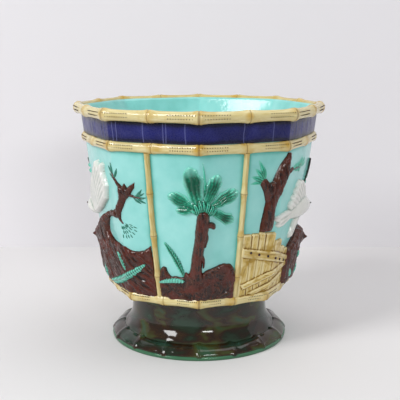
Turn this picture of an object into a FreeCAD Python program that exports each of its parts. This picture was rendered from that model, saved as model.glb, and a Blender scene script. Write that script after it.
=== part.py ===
import FreeCAD, Part
import math
import os

# Jardiniere on stand, glazed earthenware: an octagonal bowl with softly bulged sides, bordered with
# bamboo cane and carrying relief scenes, on a round flared stand.
# Millimetres and degrees. The origin is on the floor under the middle of the stand, +Z is up and the
# palm panel faces -Y. Azimuth is 0 at -Y and grows towards +X, where the right side scene is.

Vector = FreeCAD.Vector
up = Vector(0, 0, 1)

# stand
stand_height = 58.0
stand_base_radius = 102.5
stand_strip_height = 4.0        # plain strip under the cane ring
stand_groove_height = 16.0      # top of the cane ring, where the flare starts
stand_groove_radius = 87.0
stand_flare = ((84.0, 20.0), (81.0, 25.0), (79.5, 30.0), (78.8, 38.0))  # radius and height, going up
stand_neck_radius = 78.0
stand_wall = 8.0                # under the seat
stand_foot_wall = 16.0          # measured inwards at the foot and at the groove
stand_waist_wall = 12.8
stand_strip_taper = 0.5
stand_cane_radius = 103.8
stand_cane_bulge = 1.4
stand_cane_core = 6.0           # how far the cane ring is let into the flare's foot
stand_cane_tuck = 1.5           # the same at the groove
stand_knuckle_rise = 1.2
stand_knuckle_angle = 3.0

# bowl
bowl_height = 216.0             # underside to the crest of the rim cane
facet_count = 8
facet_setback = 240.0           # each side curves round an upright line this far behind the centre
bowl_bottom_radius = 95.5       # all three at the middle of a side
bowl_middle_radius = 115.5
bowl_top_radius = 129.0
wall_thickness = 7.0
floor_thickness = 10.0
floor_corner = 12.0
lip_drop = 4.0                  # from the crest of the rim cane down to the clay lip
lip_flare_height = 26.0
lip_opening_radius = 126.0
foot_ring_radius = 64.0
foot_ring_width = 8.0
foot_ring_depth = 5.0
seat_clearance = 1.0            # round the foot ring, and under it
seat_opening_radius = 50.0

# bands of cane and the blue frieze
rim_cane_height = 14.0
rim_cane_width = 12.0
rim_cane_stand_out = 3.5        # its middle in front of the wall
frieze_height = 20.0
frieze_thickness = 1.2
frieze_cane_height = 12.0
frieze_cane_depth = 4.5
base_cane_height = 12.5
base_cane_depth = 5.0
base_cane_rise = 7.5            # its middle above the bowl's underside
waist_ratio = 0.84              # cane between its knuckles, against the mid-side knuckle
corner_knuckle_ratio = 1.12

# upright canes beside the palm panel, repeated half a turn round
panel_cane_azimuths = {"right": 23.2, "left": -25.3}
panel_cane_radius = 3.5
panel_knuckle_radius = 4.6
panel_knuckle_pitch = 47.0
panel_knuckle_start = 36.0      # lowest knuckle above the bowl's underside

# relief heights above the wall
frond_relief = 3.0
mound_relief = 4.5
leaf_relief = 6.5
board_relief = 3.5
rail_relief = 5.5
wing_relief = 6.0
stump_relief = 8.0
fern_step = 2.0                 # ferns that lie on the stump stand this far above it
head_radius = 8.0
head_stand_out = 3.0            # centre of the bird's head in front of the wall

# the reliefs are drawn on a panel that reaches between these heights, and stretch with the real one
drawing_bottom = 71.75
drawing_top = 228.0
drawing_skirt = 67.6            # what grows from the ground starts behind the base cane

bowl_bottom = stand_height
bowl_top = bowl_bottom + bowl_height
lip_height = bowl_top - lip_drop
facet_angle = 360.0 / facet_count
rim_cane_middle = bowl_top - rim_cane_height / 2
frieze_top = bowl_top - rim_cane_height
frieze_bottom = frieze_top - frieze_height
frieze_cane_middle = frieze_bottom - frieze_cane_height / 2
base_cane_middle = bowl_bottom + base_cane_rise
panel_top = frieze_cane_middle - frieze_cane_height / 2
panel_bottom = base_cane_middle + base_cane_height / 2


def radial(azimuth):
    angle = math.radians(azimuth)
    return Vector(math.sin(angle), -math.cos(angle), 0)


def tangent(azimuth):
    angle = math.radians(azimuth)
    return Vector(math.cos(angle), math.sin(angle), 0)


side_circle = Part.Circle(Vector(bowl_bottom_radius, 0, bowl_bottom),
                          Vector(bowl_middle_radius, 0, bowl_bottom + bowl_height / 2),
                          Vector(bowl_top_radius, 0, bowl_top))


def side_radius(height):
    # radius of the wall's outside at the middle of a side
    centre = side_circle.Center
    reach = math.sqrt(side_circle.Radius ** 2 - (height - centre.z) ** 2)
    return centre.x + math.copysign(reach, bowl_middle_radius - centre.x)


def wall_point(azimuth, height, stand_out=0.0):
    # a point on the wall's outside, or in front of it
    from_middle = math.radians((azimuth % facet_angle) - facet_angle / 2)
    reach = side_radius(height) + facet_setback
    across = facet_setback * math.sin(from_middle)
    radius = math.sqrt(reach ** 2 - across ** 2) - facet_setback * math.cos(from_middle)
    return radial(azimuth) * (radius + stand_out) + up * height


def side_arc(offset, low, high):
    heights = (low, (low + high) / 2, high)
    points = [Vector(side_radius(height) + offset, 0, height) for height in heights]
    return Part.Arc(*points).toShape()


def octagon_solid(side):
    # what eight wide barrels have in common, each round its own upright axis set back from the middle
    start = side[0].Vertexes[0].Point
    finish = side[-1].Vertexes[-1].Point
    axis = Vector(-facet_setback, 0, 0)
    back = Part.makePolygon([finish, axis + up * finish.z, axis + up * start.z, start])
    face = Part.Face(Part.Wire(Part.__sortEdges__(side + back.Edges)))
    barrel = face.revolve(axis, up, 360)
    solid = None
    for index in range(facet_count):
        turned = barrel.copy()
        turned.rotate(Vector(), up, facet_angle * (index + 0.5) - 90)
        solid = turned if solid is None else solid.common(turned)
    return solid.Solids[0]


offset_bowls = {}


def offset_bowl(offset):
    if offset not in offset_bowls:
        offset_bowls[offset] = octagon_solid([side_arc(offset, bowl_bottom, bowl_top)])
    return offset_bowls[offset]


def cavity():
    floor = bowl_bottom + floor_thickness
    corner_top = floor + floor_corner
    flare_start = lip_height - lip_flare_height
    corner = Vector(side_radius(corner_top) - wall_thickness, 0, corner_top)
    flare = Vector(side_radius(flare_start) - wall_thickness, 0, flare_start)
    low = Part.makeLine(Vector(corner.x - floor_corner, 0, floor), corner)
    mouth = Part.makeLine(flare, Vector(lip_opening_radius, 0, lip_height))
    above = Part.makeLine(Vector(lip_opening_radius, 0, lip_height),
                          Vector(lip_opening_radius, 0, lip_height + rim_cane_height))
    return octagon_solid([low, side_arc(-wall_thickness, corner_top, flare_start), mouth, above])


def revolved(points_and_arcs):
    face = Part.Face(Part.Wire(Part.__sortEdges__(points_and_arcs)))
    return face.revolve(Vector(), up, 360)


def polyline(points):
    return Part.makePolygon([Vector(radius, 0, height) for radius, height in points]).Edges


def ellipse_wire(centre, direction, out, half_out, half_side):
    # closed ellipse square to direction, half_out towards the outside of the wall
    direction = Vector(direction).normalize()
    out = (out - direction * out.dot(direction)).normalize()
    side = direction.cross(out)
    if abs(half_side - half_out) < 1e-6:
        return Part.Wire(Part.Circle(centre, direction, half_out).toShape())
    long_end, short_end = centre + out * half_out, centre + side * half_side
    if half_side > half_out:
        long_end, short_end = short_end, long_end
    return Part.Wire(Part.Ellipse(long_end, short_end, centre).toShape())


def drawn(height):
    # where a height of the drawing lies on the real panel
    share = (height - drawing_bottom) / (drawing_top - drawing_bottom)
    return panel_bottom + share * (panel_top - panel_bottom)


def limb(stations):
    # a rounded branch lying on the wall: stations are azimuth, drawn height, half width and half depth
    centres = [wall_point(azimuth, drawn(height)) for azimuth, height, _, _ in stations]
    wires = []
    for index, (azimuth, height, half_width, half_depth) in enumerate(stations):
        before = centres[max(index - 1, 0)]
        after = centres[min(index + 1, len(centres) - 1)]
        wires.append(ellipse_wire(centres[index], after - before, radial(azimuth), half_depth, half_width))
    return Part.makeLoft(wires, True, True)


def on_panel(azimuth, height, aim):
    # where a point of the drawing is seen on a flat sheet square to the aim
    point = wall_point(azimuth, drawn(height))
    return tangent(aim) * point.dot(tangent(aim)) + up * point.z


def straight_outline(points, aim):
    corners = [on_panel(azimuth, height, aim) for azimuth, height in points]
    return Part.makePolygon(corners + corners[:1])


def leaf_outline(base, tip, half_width, aim):
    # two arcs that meet in a point at each end
    start, finish = on_panel(*base, aim), on_panel(*tip, aim)
    middle = (start + finish) * 0.5
    side = (finish - start).cross(radial(aim)).normalize() * half_width
    one = Part.Arc(start, middle + side, finish).toShape()
    other = Part.Arc(finish, middle - side, start).toShape()
    return Part.Wire([one, other])


def relief(outline, height, aim):
    # the outline is pressed along the aim on to the wall and stands out by its height
    prism = Part.Face(outline).extrude(radial(aim) * (bowl_top_radius * 2))
    return prism.common(offset_bowl(height)).cut(bowl_outside)


def trimmed(shape, others):
    for other in others:
        if shape.BoundBox.intersect(other.BoundBox):
            shape = shape.cut(other)
    return shape


def joined(shapes):
    whole = shapes[0]
    if len(shapes) > 1:
        whole = whole.multiFuse(shapes[1:])
    return whole.removeSplitter()


def half_turn(shape):
    turned = shape.copy()
    turned.rotate(Vector(), up, 180)
    return turned


def save(name, shape):
    result = shape.Solids[0] if len(shape.Solids) == 1 else Part.makeCompound(shape.Solids)
    result.exportStep("parts/" + name + ".step")
    print(name, len(result.Solids), "solids")


# cane rings

def cane_ring(middle_height, stand_out, half_depth, half_height):
    # cane run round the octagon, with a knuckle at each corner and at the middle of each side
    corner = wall_point(0, middle_height, stand_out)
    middle = wall_point(facet_angle / 2, middle_height, stand_out)
    next_corner = wall_point(facet_angle, middle_height, stand_out)
    shares = (0.0, 0.12, 0.5, 0.88, 1.0)
    pieces = []
    for start, finish, first, last in ((corner, middle, corner_knuckle_ratio, 1.0),
                                       (middle, next_corner, 1.0, corner_knuckle_ratio)):
        run = finish - start
        ratios = (first, waist_ratio * first, waist_ratio, waist_ratio * last, last)
        out_of_run = Vector(run.y, -run.x, 0)
        wires = []
        for share, ratio in zip(shares, ratios):
            centre = start + run * share
            out = Vector(centre.x, centre.y, 0) if share in (0.0, 1.0) else out_of_run
            wires.append(ellipse_wire(centre, up.cross(out), out, half_depth * ratio, half_height * ratio))
        pieces.append(Part.makeLoft(wires, True, True))
    unit = joined(pieces).cut(bowl_outside_tall).cut(bowl_cavity)
    copies = []
    for index in range(facet_count):
        copy = unit.copy()
        copy.rotate(Vector(), up, facet_angle * index)
        copies.append(copy)
    return joined(copies)


def panel_cane(azimuth):
    heights = [panel_bottom]
    radii = [panel_cane_radius]
    knuckle = bowl_bottom + panel_knuckle_start
    while knuckle < panel_top - panel_knuckle_radius:
        heights += [knuckle - panel_knuckle_radius, knuckle, knuckle + panel_knuckle_radius]
        radii += [panel_cane_radius, panel_knuckle_radius, panel_cane_radius]
        knuckle += panel_knuckle_pitch
    heights.append(panel_top)
    radii.append(panel_cane_radius)
    wires = []
    for height, radius in zip(heights, radii):
        wires.append(Part.Wire(Part.Circle(wall_point(azimuth, height), up, radius).toShape()))
    return Part.makeLoft(wires, True, True).cut(bowl_outside)


# the bowl

def bowl_shell():
    body = octagon_solid([side_arc(0, bowl_bottom, lip_height)]).cut(bowl_cavity)
    ring = Part.makeCylinder(foot_ring_radius, foot_ring_depth, Vector(0, 0, bowl_bottom - foot_ring_depth))
    inner = Part.makeCylinder(foot_ring_radius - foot_ring_width, foot_ring_depth,
                              Vector(0, 0, bowl_bottom - foot_ring_depth))
    return body.fuse(ring.cut(inner)).removeSplitter()


def frieze():
    slab = Part.makeBox(4 * bowl_top_radius, 4 * bowl_top_radius, frieze_top - frieze_bottom,
                        Vector(-2 * bowl_top_radius, -2 * bowl_top_radius, frieze_bottom))
    return offset_bowl(frieze_thickness).common(slab).cut(bowl_outside).cut(rim_cane).cut(frieze_cane)


# the palm panel, on the corner at azimuth 0

def palm_trunk():
    trunk = limb([(2.2, 174, 6.2, 4), (1.7, 160, 6.0, 5), (0.7, 140, 5.8, 5), (-0.5, 122, 6.0, 5),
                  (-1.5, 105, 6.4, 6), (-1.7, 94, 7.5, 7)])
    stub = limb([(1.5, 156, 3, 3), (6, 154, 2.6, 3), (9.2, 150, 2.4, 2.5)])
    return joined([trunk, stub]).cut(bowl_outside)


def palm_fronds(trunk):
    fronds = [((1.0, 174), (-5.5, 212), 9.0), ((2.4, 174), (2.0, 223), 2.5), ((3.0, 174), (9.8, 204), 7.0),
              ((3.4, 173), (18.4, 188), 6.0), ((3.6, 171), (18.9, 156), 5.5), ((1.4, 173), (-14.6, 183), 5.5),
              ((1.0, 170), (-11.2, 167), 4.5)]
    pieces = [relief(leaf_outline(base, tip, half_width, 0), frond_relief, 0)
              for base, tip, half_width in fronds]
    return joined(pieces).cut(trunk)


def palm_mound(trunk):
    top = [(-24, 98), (-22, 104), (-18.6, 104), (-17.5, 96), (-8, 96), (-3.9, 99), (3.3, 104), (8.9, 108),
           (14.2, 110), (19.2, 106), (22, 99)]
    outline = straight_outline([(-24.5, drawing_skirt)] + top + [(22.5, drawing_skirt)], 0)
    return relief(outline, mound_relief, 0).cut(trunk)


def palm_leaves(others):
    spear = relief(leaf_outline((-8.4, 96), (-20.9, 130), 4.5, -15), leaf_relief, -15)
    low_leaf = relief(leaf_outline((-9, 86), (-23, 88), 3.5, -15), leaf_relief, -15)
    return trimmed(joined([spear, low_leaf]), others)


# the side scene, between the upright canes

def gate():
    boards = straight_outline([(24, drawing_skirt), (24, 140), (38, 141), (38.5, 136), (45, 136), (45.5, 127),
                               (54, 126), (54.5, 118), (66, 112), (66, drawing_skirt)], 45)
    rail = straight_outline([(24, 126), (66, 103), (66, 94), (24, 116)], 45)
    long_brace = straight_outline([(25, 84), (66, 99), (66, 93), (27, 77)], 45)
    short_brace = straight_outline([(30, 72), (60, 85), (62, 80), (38, 70)], 45)
    pieces = [relief(boards, board_relief, 45)]
    pieces += [relief(outline, rail_relief, 45) for outline in (rail, long_brace, short_brace)]
    return joined(pieces)


def forked_trunk(others):
    trunk = limb([(37, 132, 8.5, 5), (37.4, 150, 8, 6), (37.4, 163, 7.5, 6), (39, 178, 8, 6),
                  (41.5, 192, 8, 6), (44, 207, 7, 5), (47, 224, 4, 4)])
    stub = limb([(39, 180, 4, 4), (36, 190, 3.5, 3.5), (33.4, 197, 3, 3)])
    return trimmed(joined([trunk, stub]).cut(bowl_outside), others)


def trunk_twigs(others):
    twig = limb([(46, 200, 2, 2), (50, 203, 1.6, 1.8), (58, 205, 1.2, 1.5)])
    hanging = limb([(89, 208, 1.4, 2.4), (86, 198, 2.0, 3), (82, 185, 1.4, 2.2)])
    sprays = [((34.5, 197), (28, 204), 3), ((34, 198), (30.2, 219), 3), ((34, 198), (31.5, 209), 2.5),
              ((57, 204), (66, 210), 2.6), ((56, 204), (64, 201), 2.2), ((87, 200), (95, 192), 3),
              ((86, 196), (93, 180), 3)]
    leaves = [relief(leaf_outline(base, tip, half_width, base[0]), frond_relief, base[0])
              for base, tip, half_width in sprays]
    wood = [twig.cut(bowl_outside), hanging.cut(bowl_outside)]
    return joined([trimmed(piece, others) for piece in wood + leaves])


def stump():
    trunk = [(70, 100), (75, 118), (80, 132), (86, 138), (93, 140), (99, 149), (107, 156), (120, 157),
             (131, 155), (130, 151), (121, 150), (118, 138), (119, 124), (122, 104), (116, drawing_skirt),
             (68, drawing_skirt), (66.5, 86)]
    roots = [(117, 110), (119, 125), (129.6, 118), (139, 113), (145, 117), (152, 126), (152.5, drawing_skirt),
             (114, drawing_skirt)]
    return joined([relief(straight_outline(trunk, 95), stump_relief, 95),
                   relief(straight_outline(roots, 132), mound_relief, 132)])


def bird(others):
    body = limb([(44, 148, 7, 3), (50, 152, 6, 4), (58, 156, 7, 6), (68, 158, 9, 9), (78, 156, 12, 12),
                 (88, 153, 11, 12), (94, 152, 7, 8)])
    head = Part.makeSphere(head_radius, wall_point(90, 152, head_stand_out))
    left_wing = straight_outline([(86, 158), (82, 178), (72, 189), (65, 190), (63.5, 184), (61, 180),
                                  (59, 174), (56, 170), (54.5, 164), (58, 158)], 70)
    lower_wing = straight_outline([(72, 150), (66, 140), (65, 127), (68, 124), (74, 134), (84, 146)], 70)
    right_wing = straight_outline([(88, 154), (95, 176), (106, 194), (114, 213), (117, 214), (118.5, 204),
                                   (122.5, 212), (125, 211), (124, 198), (126.8, 187), (124, 176), (118, 166),
                                   (110, 158), (98, 148)], 108)
    wings = [relief(left_wing, wing_relief, 70), relief(lower_wing, wing_relief, 70),
             relief(right_wing, wing_relief, 108)]
    whole = joined([body, head]).cut(bowl_outside)
    return trimmed(joined([whole] + wings), others)


def stump_branches(others):
    main = limb([(130, 153, 3.5, 3.5), (134.5, 166, 3, 3), (138.5, 178, 4, 4), (139.5, 187, 3, 3)])
    stub = limb([(138.5, 178, 3.2, 3.6), (142, 187, 3, 3.2), (145, 193, 2.4, 2.6)])
    twigs = [limb([(139, 186, 1.8, 2), (135.5, 196, 1.3, 1.6), (130.5, 206, 0.9, 1.2)]),
             limb([(140, 180, 1.6, 1.8), (145, 179, 1.2, 1.5), (150, 180, 0.9, 1.2)]),
             limb([(131.5, 153, 1.6, 1.8), (136, 147, 1.2, 1.5), (140, 140, 0.9, 1.2)])]
    sprays = [((134, 198), (131, 211), 2.4), ((143, 179), (148, 186), 2.2), ((144, 179), (149, 173), 2.2),
              ((136, 147), (142, 146), 2.4), ((137, 145), (139, 133), 2.4)]
    wood = [piece.cut(bowl_outside) for piece in [main, stub] + twigs]
    leaves = [relief(leaf_outline(base, tip, half_width, base[0]), frond_relief, base[0])
              for base, tip, half_width in sprays]
    return trimmed(joined(wood + leaves), others)


def stump_ferns(others):
    ferns = [((115, 77), (131, 88), 4.5), ((130, 88), (145.5, 102), 4), ((99, 82), (105, 98), 4.5),
             ((130, 95), (119, 112), 2.6), ((82, 78), (86, 100), 4)]
    over_stump = stump_relief + fern_step
    heights = (leaf_relief, leaf_relief, over_stump, leaf_relief, over_stump)
    pieces = [relief(leaf_outline(base, tip, half_width, base[0]), height, base[0])
              for (base, tip, half_width), height in zip(ferns, heights)]
    return trimmed(joined(pieces), others)


# the stand

def stand_foot():
    recess_floor = stand_height - foot_ring_depth - seat_clearance
    recess_radius = foot_ring_radius + seat_clearance
    core_top = stand_groove_radius - stand_cane_tuck
    core_low = stand_cane_radius - stand_cane_core
    waist_radius, waist_height = stand_flare[-1]
    points = [(stand_groove_radius, stand_groove_height), *stand_flare, (stand_neck_radius, stand_height)]
    flare = Part.BSplineCurve()
    flare.interpolate([Vector(radius, 0, height) for radius, height in points])
    outside = polyline([(seat_opening_radius, recess_floor), (recess_radius, recess_floor),
                        (recess_radius, stand_height), (stand_neck_radius, stand_height)])
    under = polyline([(stand_groove_radius, stand_groove_height), (core_top, stand_groove_height),
                      (core_low, stand_strip_height),
                      (stand_base_radius + stand_strip_taper, stand_strip_height),
                      (stand_base_radius, 0), (stand_base_radius - stand_foot_wall, 0),
                      (stand_groove_radius - stand_foot_wall, stand_groove_height),
                      (waist_radius - stand_waist_wall, waist_height),
                      (seat_opening_radius, recess_floor - stand_wall),
                      (seat_opening_radius, recess_floor)])
    return revolved(outside + [flare.toShape()] + under)


def stand_cane():
    core_top = stand_groove_radius - stand_cane_tuck
    core_low = stand_cane_radius - stand_cane_core
    start = Vector(stand_cane_radius, 0, stand_strip_height)
    finish = Vector(stand_groove_radius, 0, stand_groove_height)
    back = polyline([(stand_groove_radius, stand_groove_height), (core_top, stand_groove_height),
                     (core_low, stand_strip_height), (stand_cane_radius, stand_strip_height)])
    out = (finish - start).cross(Vector(0, 1, 0)).normalize()
    faces = []
    for bulge in (stand_cane_bulge, stand_cane_bulge + stand_knuckle_rise):
        arc = Part.Arc(start, (start + finish) * 0.5 - out * bulge, finish).toShape()
        faces.append(Part.Face(Part.Wire(Part.__sortEdges__([arc] + [edge.copy() for edge in back]))))
    ring = faces[0].revolve(Vector(), up, 360)
    knuckles = []
    for index in range(2 * facet_count):
        knuckle = faces[1].revolve(Vector(), up, stand_knuckle_angle)
        knuckle.rotate(Vector(), up, facet_angle / 2 * index - 90 - stand_knuckle_angle / 2)
        knuckles.append(knuckle)
    return joined([ring] + knuckles)


os.makedirs("parts", exist_ok=True)

bowl_outside = offset_bowl(0.0)
bowl_outside_tall = octagon_solid([side_arc(0, bowl_bottom, lip_height)])
bowl_cavity = cavity()
rim_cane = cane_ring(rim_cane_middle, rim_cane_stand_out, rim_cane_width / 2, rim_cane_height / 2)
frieze_cane = cane_ring(frieze_cane_middle, 0.0, frieze_cane_depth, frieze_cane_height / 2)
base_cane = cane_ring(base_cane_middle, 0.0, base_cane_depth, base_cane_height / 2)
save("bowl_shell", bowl_shell())
save("rim_cane", rim_cane)
save("frieze_cane", frieze_cane)
save("base_cane", base_cane)
save("cobalt_frieze", frieze())

trims = [frieze_cane, base_cane]
for side, azimuth in panel_cane_azimuths.items():
    cane = panel_cane(azimuth)
    trims += [cane, half_turn(cane)]
    save("panel_cane_front_" + side, cane)
    save("panel_cane_back_" + side, half_turn(cane))

scene = {}
scene["palm_trunk"] = palm_trunk()
scene["palm_fronds"] = palm_fronds(scene["palm_trunk"])
scene["palm_mound"] = trimmed(palm_mound(scene["palm_trunk"]), trims)
scene["palm_leaves"] = palm_leaves([scene["palm_trunk"], scene["palm_mound"]] + trims)
for name, piece in scene.items():
    save(name + "_front", piece)
    save(name + "_back", half_turn(piece))

scene = {}
scene["stump"] = trimmed(stump(), trims)
scene["gate"] = trimmed(gate(), [scene["stump"]] + trims)
scene["forked_trunk"] = forked_trunk([scene["gate"]] + trims)
scene["bird"] = bird([scene["forked_trunk"], scene["stump"], scene["gate"]])
scene["trunk_twigs"] = trunk_twigs([scene["forked_trunk"], scene["bird"]] + trims)
scene["stump_branches"] = stump_branches([scene["stump"], scene["bird"]] + trims)
scene["stump_ferns"] = stump_ferns([scene["stump"], scene["gate"]] + trims)
for name, piece in scene.items():
    save(name + "_right", piece)
    save(name + "_left", half_turn(piece))

save("stand_foot", stand_foot())
save("stand_cane", stand_cane())
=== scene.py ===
import math
import bpy
import numpy as np
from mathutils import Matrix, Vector


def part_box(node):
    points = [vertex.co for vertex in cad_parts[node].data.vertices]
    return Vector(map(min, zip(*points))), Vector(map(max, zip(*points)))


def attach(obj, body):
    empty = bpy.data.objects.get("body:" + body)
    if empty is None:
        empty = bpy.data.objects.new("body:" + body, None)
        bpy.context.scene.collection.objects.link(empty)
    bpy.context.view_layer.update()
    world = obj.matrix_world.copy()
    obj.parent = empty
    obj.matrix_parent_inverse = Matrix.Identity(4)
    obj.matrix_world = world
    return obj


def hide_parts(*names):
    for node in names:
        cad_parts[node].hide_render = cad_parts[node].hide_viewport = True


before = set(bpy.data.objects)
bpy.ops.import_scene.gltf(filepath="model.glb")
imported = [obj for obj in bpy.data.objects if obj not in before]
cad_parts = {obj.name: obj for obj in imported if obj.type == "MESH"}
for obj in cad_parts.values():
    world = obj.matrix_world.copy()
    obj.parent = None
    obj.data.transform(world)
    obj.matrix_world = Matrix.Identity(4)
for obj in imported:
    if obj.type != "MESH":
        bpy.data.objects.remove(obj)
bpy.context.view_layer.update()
mm = 0.001

# Lengths are millimetres and angles degrees, unless a name says otherwise; meshes are made in metres.
# Azimuth is 0 at -Y, where the palm panel faces, and grows towards +X, where the right bird is.
bowl = {
    "bottom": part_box("stand_foot")[1][2] / mm,  # the bowl's underside rests on the stand
    "height": 216.0,
    "facets": 8,
    "setback": 240.0,  # each side curves round an upright line this far behind the middle
    "radii": (95.5, 115.5, 129.0),  # at the middle of a side: bottom, half height, top
    "wall": 7.0,
    "floor": 10.0,
    "floorCorner": 12.0,
    "lipDrop": 4.0,
    "lipOpening": 126.0,
    "lipFlare": 26.0,
    "footRing": (56.3, 63.7, 5.0),  # inner radius, outer radius, depth
    "insideShare": 0.4,  # the hollow is nearly round, and meets the eight sides at the lip
    "columns": 448,
}
bowlTop = bowl["bottom"] + bowl["height"]
facetAngle = 360.0 / bowl["facets"]
sheetStretch = 1.02  # reliefs stand a little in front of the wall, so they are drawn this much wider
steep = 1.3  # how fast a relief dives under the wall past its outline
nowhere = -9.0  # a height that is sure to lie under the wall
slab = {
    "sink": 1.0,  # how deep in the wall a relief's unseen rim lies
    "back": 0.6,  # and its back behind that
    "blurPasses": 6,
    "poolGain": 1.1,  # glaze depth for each millimetre that a spot lies below what surrounds it
    "rimHeight": 1.2,  # the edge colour is gone at this height
}
leaf = {
    "bend": 0.05,
    "plain": (0.4, 0.0),  # depth of the veins, and how far the teeth cut in
    "fern": (0.9, 0.36),
    "toothPitch": 3.2,
    "veinPitch": 2.6,
    "groove": (0.35, 0.7),  # share of the depth, and half width
    "ends": 0.45,  # share of the depth at base and tip
}


def circleThrough(low, middle, high):
    # centre and radius of the circle through three (radius, height) points
    (ax, ay), (bx, by), (cx, cy) = low, middle, high
    d = 2 * (ax * (by - cy) + bx * (cy - ay) + cx * (ay - by))
    a, b, c = ax * ax + ay * ay, bx * bx + by * by, cx * cx + cy * cy
    x = (a * (by - cy) + b * (cy - ay) + c * (ay - by)) / d
    y = (a * (cx - bx) + b * (ax - cx) + c * (bx - ax)) / d
    return x, y, math.hypot(ax - x, ay - y)


sideCircle = circleThrough((bowl["radii"][0], bowl["bottom"]),
                           (bowl["radii"][1], bowl["bottom"] + bowl["height"] / 2),
                           (bowl["radii"][2], bowlTop))


def sideRadius(height):
    x, y, reach = sideCircle
    return x + np.sqrt(reach ** 2 - (height - y) ** 2)


def octagonRadius(azimuth, middleRadius):
    # distance from the middle to a side that bulges, at any azimuth
    angle = np.radians((azimuth % facetAngle) - facetAngle / 2)
    reach = middleRadius + bowl["setback"]
    across = bowl["setback"] * np.sin(angle)
    return np.sqrt(reach ** 2 - across ** 2) - bowl["setback"] * np.cos(angle)


def wallRadius(azimuth, height):
    return octagonRadius(azimuth, sideRadius(height))


def placed(azimuth, radius, height):
    # metres, one row for each point
    angle = np.radians(azimuth)
    return np.stack([radius * np.sin(angle), -radius * np.cos(angle), height + 0 * angle], -1) * mm


def onSheet(azimuth, height, aim):
    # millimetres along the wall from the aim, and up
    return np.radians(azimuth - aim) * sideRadius(height) * sheetStretch, height + 0 * azimuth


def sheetPath(points, aim):
    # azimuth, height and any widths, to sheet coordinates
    rows = []
    for azimuth, height, *rest in points:
        u, v = onSheet(azimuth, height, aim)
        rows.append((float(u), float(v), *rest))
    return rows


def latticeNoise(x, y, seed):
    # smooth, from -1 to 1, about one bump for each unit
    column, row = np.floor(x).astype(np.int64), np.floor(y).astype(np.int64)
    fx, fy = x - column, y - row
    fx, fy = fx * fx * (3 - 2 * fx), fy * fy * (3 - 2 * fy)

    def corner(i, j):  # large odd numbers scramble the place into an even spread
        mixed = ((column + i) * 374761393 + (row + j) * 668265263 + seed * 974634777) & 0xffffffff
        mixed = ((mixed ^ (mixed >> 13)) * 1274126177) & 0xffffffff
        return ((mixed ^ (mixed >> 16)) & 0xffff) / 32767.5 - 1

    low = corner(0, 0) * (1 - fx) + corner(1, 0) * fx
    high = corner(0, 1) * (1 - fx) + corner(1, 1) * fx
    return low * (1 - fy) + high * fy


def roughNoise(x, y, seed, octaves=3):
    total, share = 0, 1.0
    for octave in range(octaves):
        total = total + share * latticeNoise(x * 2 ** octave, y * 2 ** octave, seed + octave)
        share *= 0.5
    return total


def smoothPath(rows, steps=6):
    # a curve through the rows, widths included
    points = np.array(rows, float)
    padded = np.vstack([2 * points[0] - points[1], points, 2 * points[-1] - points[-2]])
    curve = []
    for index in range(1, len(padded) - 2):
        a, b, c, d = padded[index - 1:index + 3]
        for step in range(steps):
            t = step / steps
            curve.append(0.5 * (2 * b + (c - a) * t + (2 * a - 5 * b + 4 * c - d) * t ** 2
                                + (3 * b - a - 3 * c + d) * t ** 3))
    curve.append(points[-1])
    return np.array(curve)


def strokeDistance(u, v, rows):
    # rows are u, v, half width. Distance outside the stroke's edge, share of the width, and length along
    best = None
    travelled = 0.0
    for (u0, v0, w0), (u1, v1, w1) in zip(rows[:-1], rows[1:]):
        du, dv = u1 - u0, v1 - v0
        length = max(math.hypot(du, dv), 1e-6)
        share = np.clip(((u - u0) * du + (v - v0) * dv) / length ** 2, 0, 1)
        away = np.hypot(u - u0 - share * du, v - v0 - share * dv)
        width = w0 + (w1 - w0) * share
        found = (away - width, away / width, travelled + share * length)
        if best is None:
            best = found
        else:
            nearer = found[0] < best[0]
            best = tuple(np.where(nearer, new, old) for new, old in zip(found, best))
        travelled += length
    return best


def alongAcross(u, v, start, end):
    # millimetres along and across the line between two points, and its length
    (u0, v0), (u1, v1) = start, end
    length = math.hypot(u1 - u0, v1 - v0)
    du, dv = (u1 - u0) / length, (v1 - v0) / length
    return (u - u0) * du + (v - v0) * dv, (u - u0) * dv - (v - v0) * du, length


def polygonDistance(u, v, corners):
    # negative inside
    inside = np.zeros(np.shape(u), bool)
    nearest = np.full(np.shape(u), 1e9)
    for (u0, v0), (u1, v1) in zip(corners, corners[1:] + corners[:1]):
        du, dv = u1 - u0, v1 - v0
        share = np.clip(((u - u0) * du + (v - v0) * dv) / (du * du + dv * dv), 0, 1)
        nearest = np.minimum(nearest, np.hypot(u - u0 - share * du, v - v0 - share * dv))
        crosses = (v0 > v) != (v1 > v)
        meets = u0 + (v - v0) * du / (dv if abs(dv) > 1e-9 else 1e-9)
        inside ^= crosses & (u < meets)
    return np.where(inside, -nearest, nearest)


def outlineEdge(u, v, outline, aim):
    # the same for an outline of azimuths and heights
    return polygonDistance(u, v, sheetPath(outline, aim))


def plateau(edge, top, rounding):
    # flat top with a rounded rim
    inside = np.clip(-edge / rounding, 0, 1)
    return np.where(edge < 0, top * np.sqrt(1 - (1 - inside) ** 2), -edge * steep)


def ridge(edge, ratio, depth):
    # half round bar
    return np.where(edge < 0, depth * np.sqrt(np.clip(1 - ratio ** 2, 0, 1)), -edge * steep)


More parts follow.
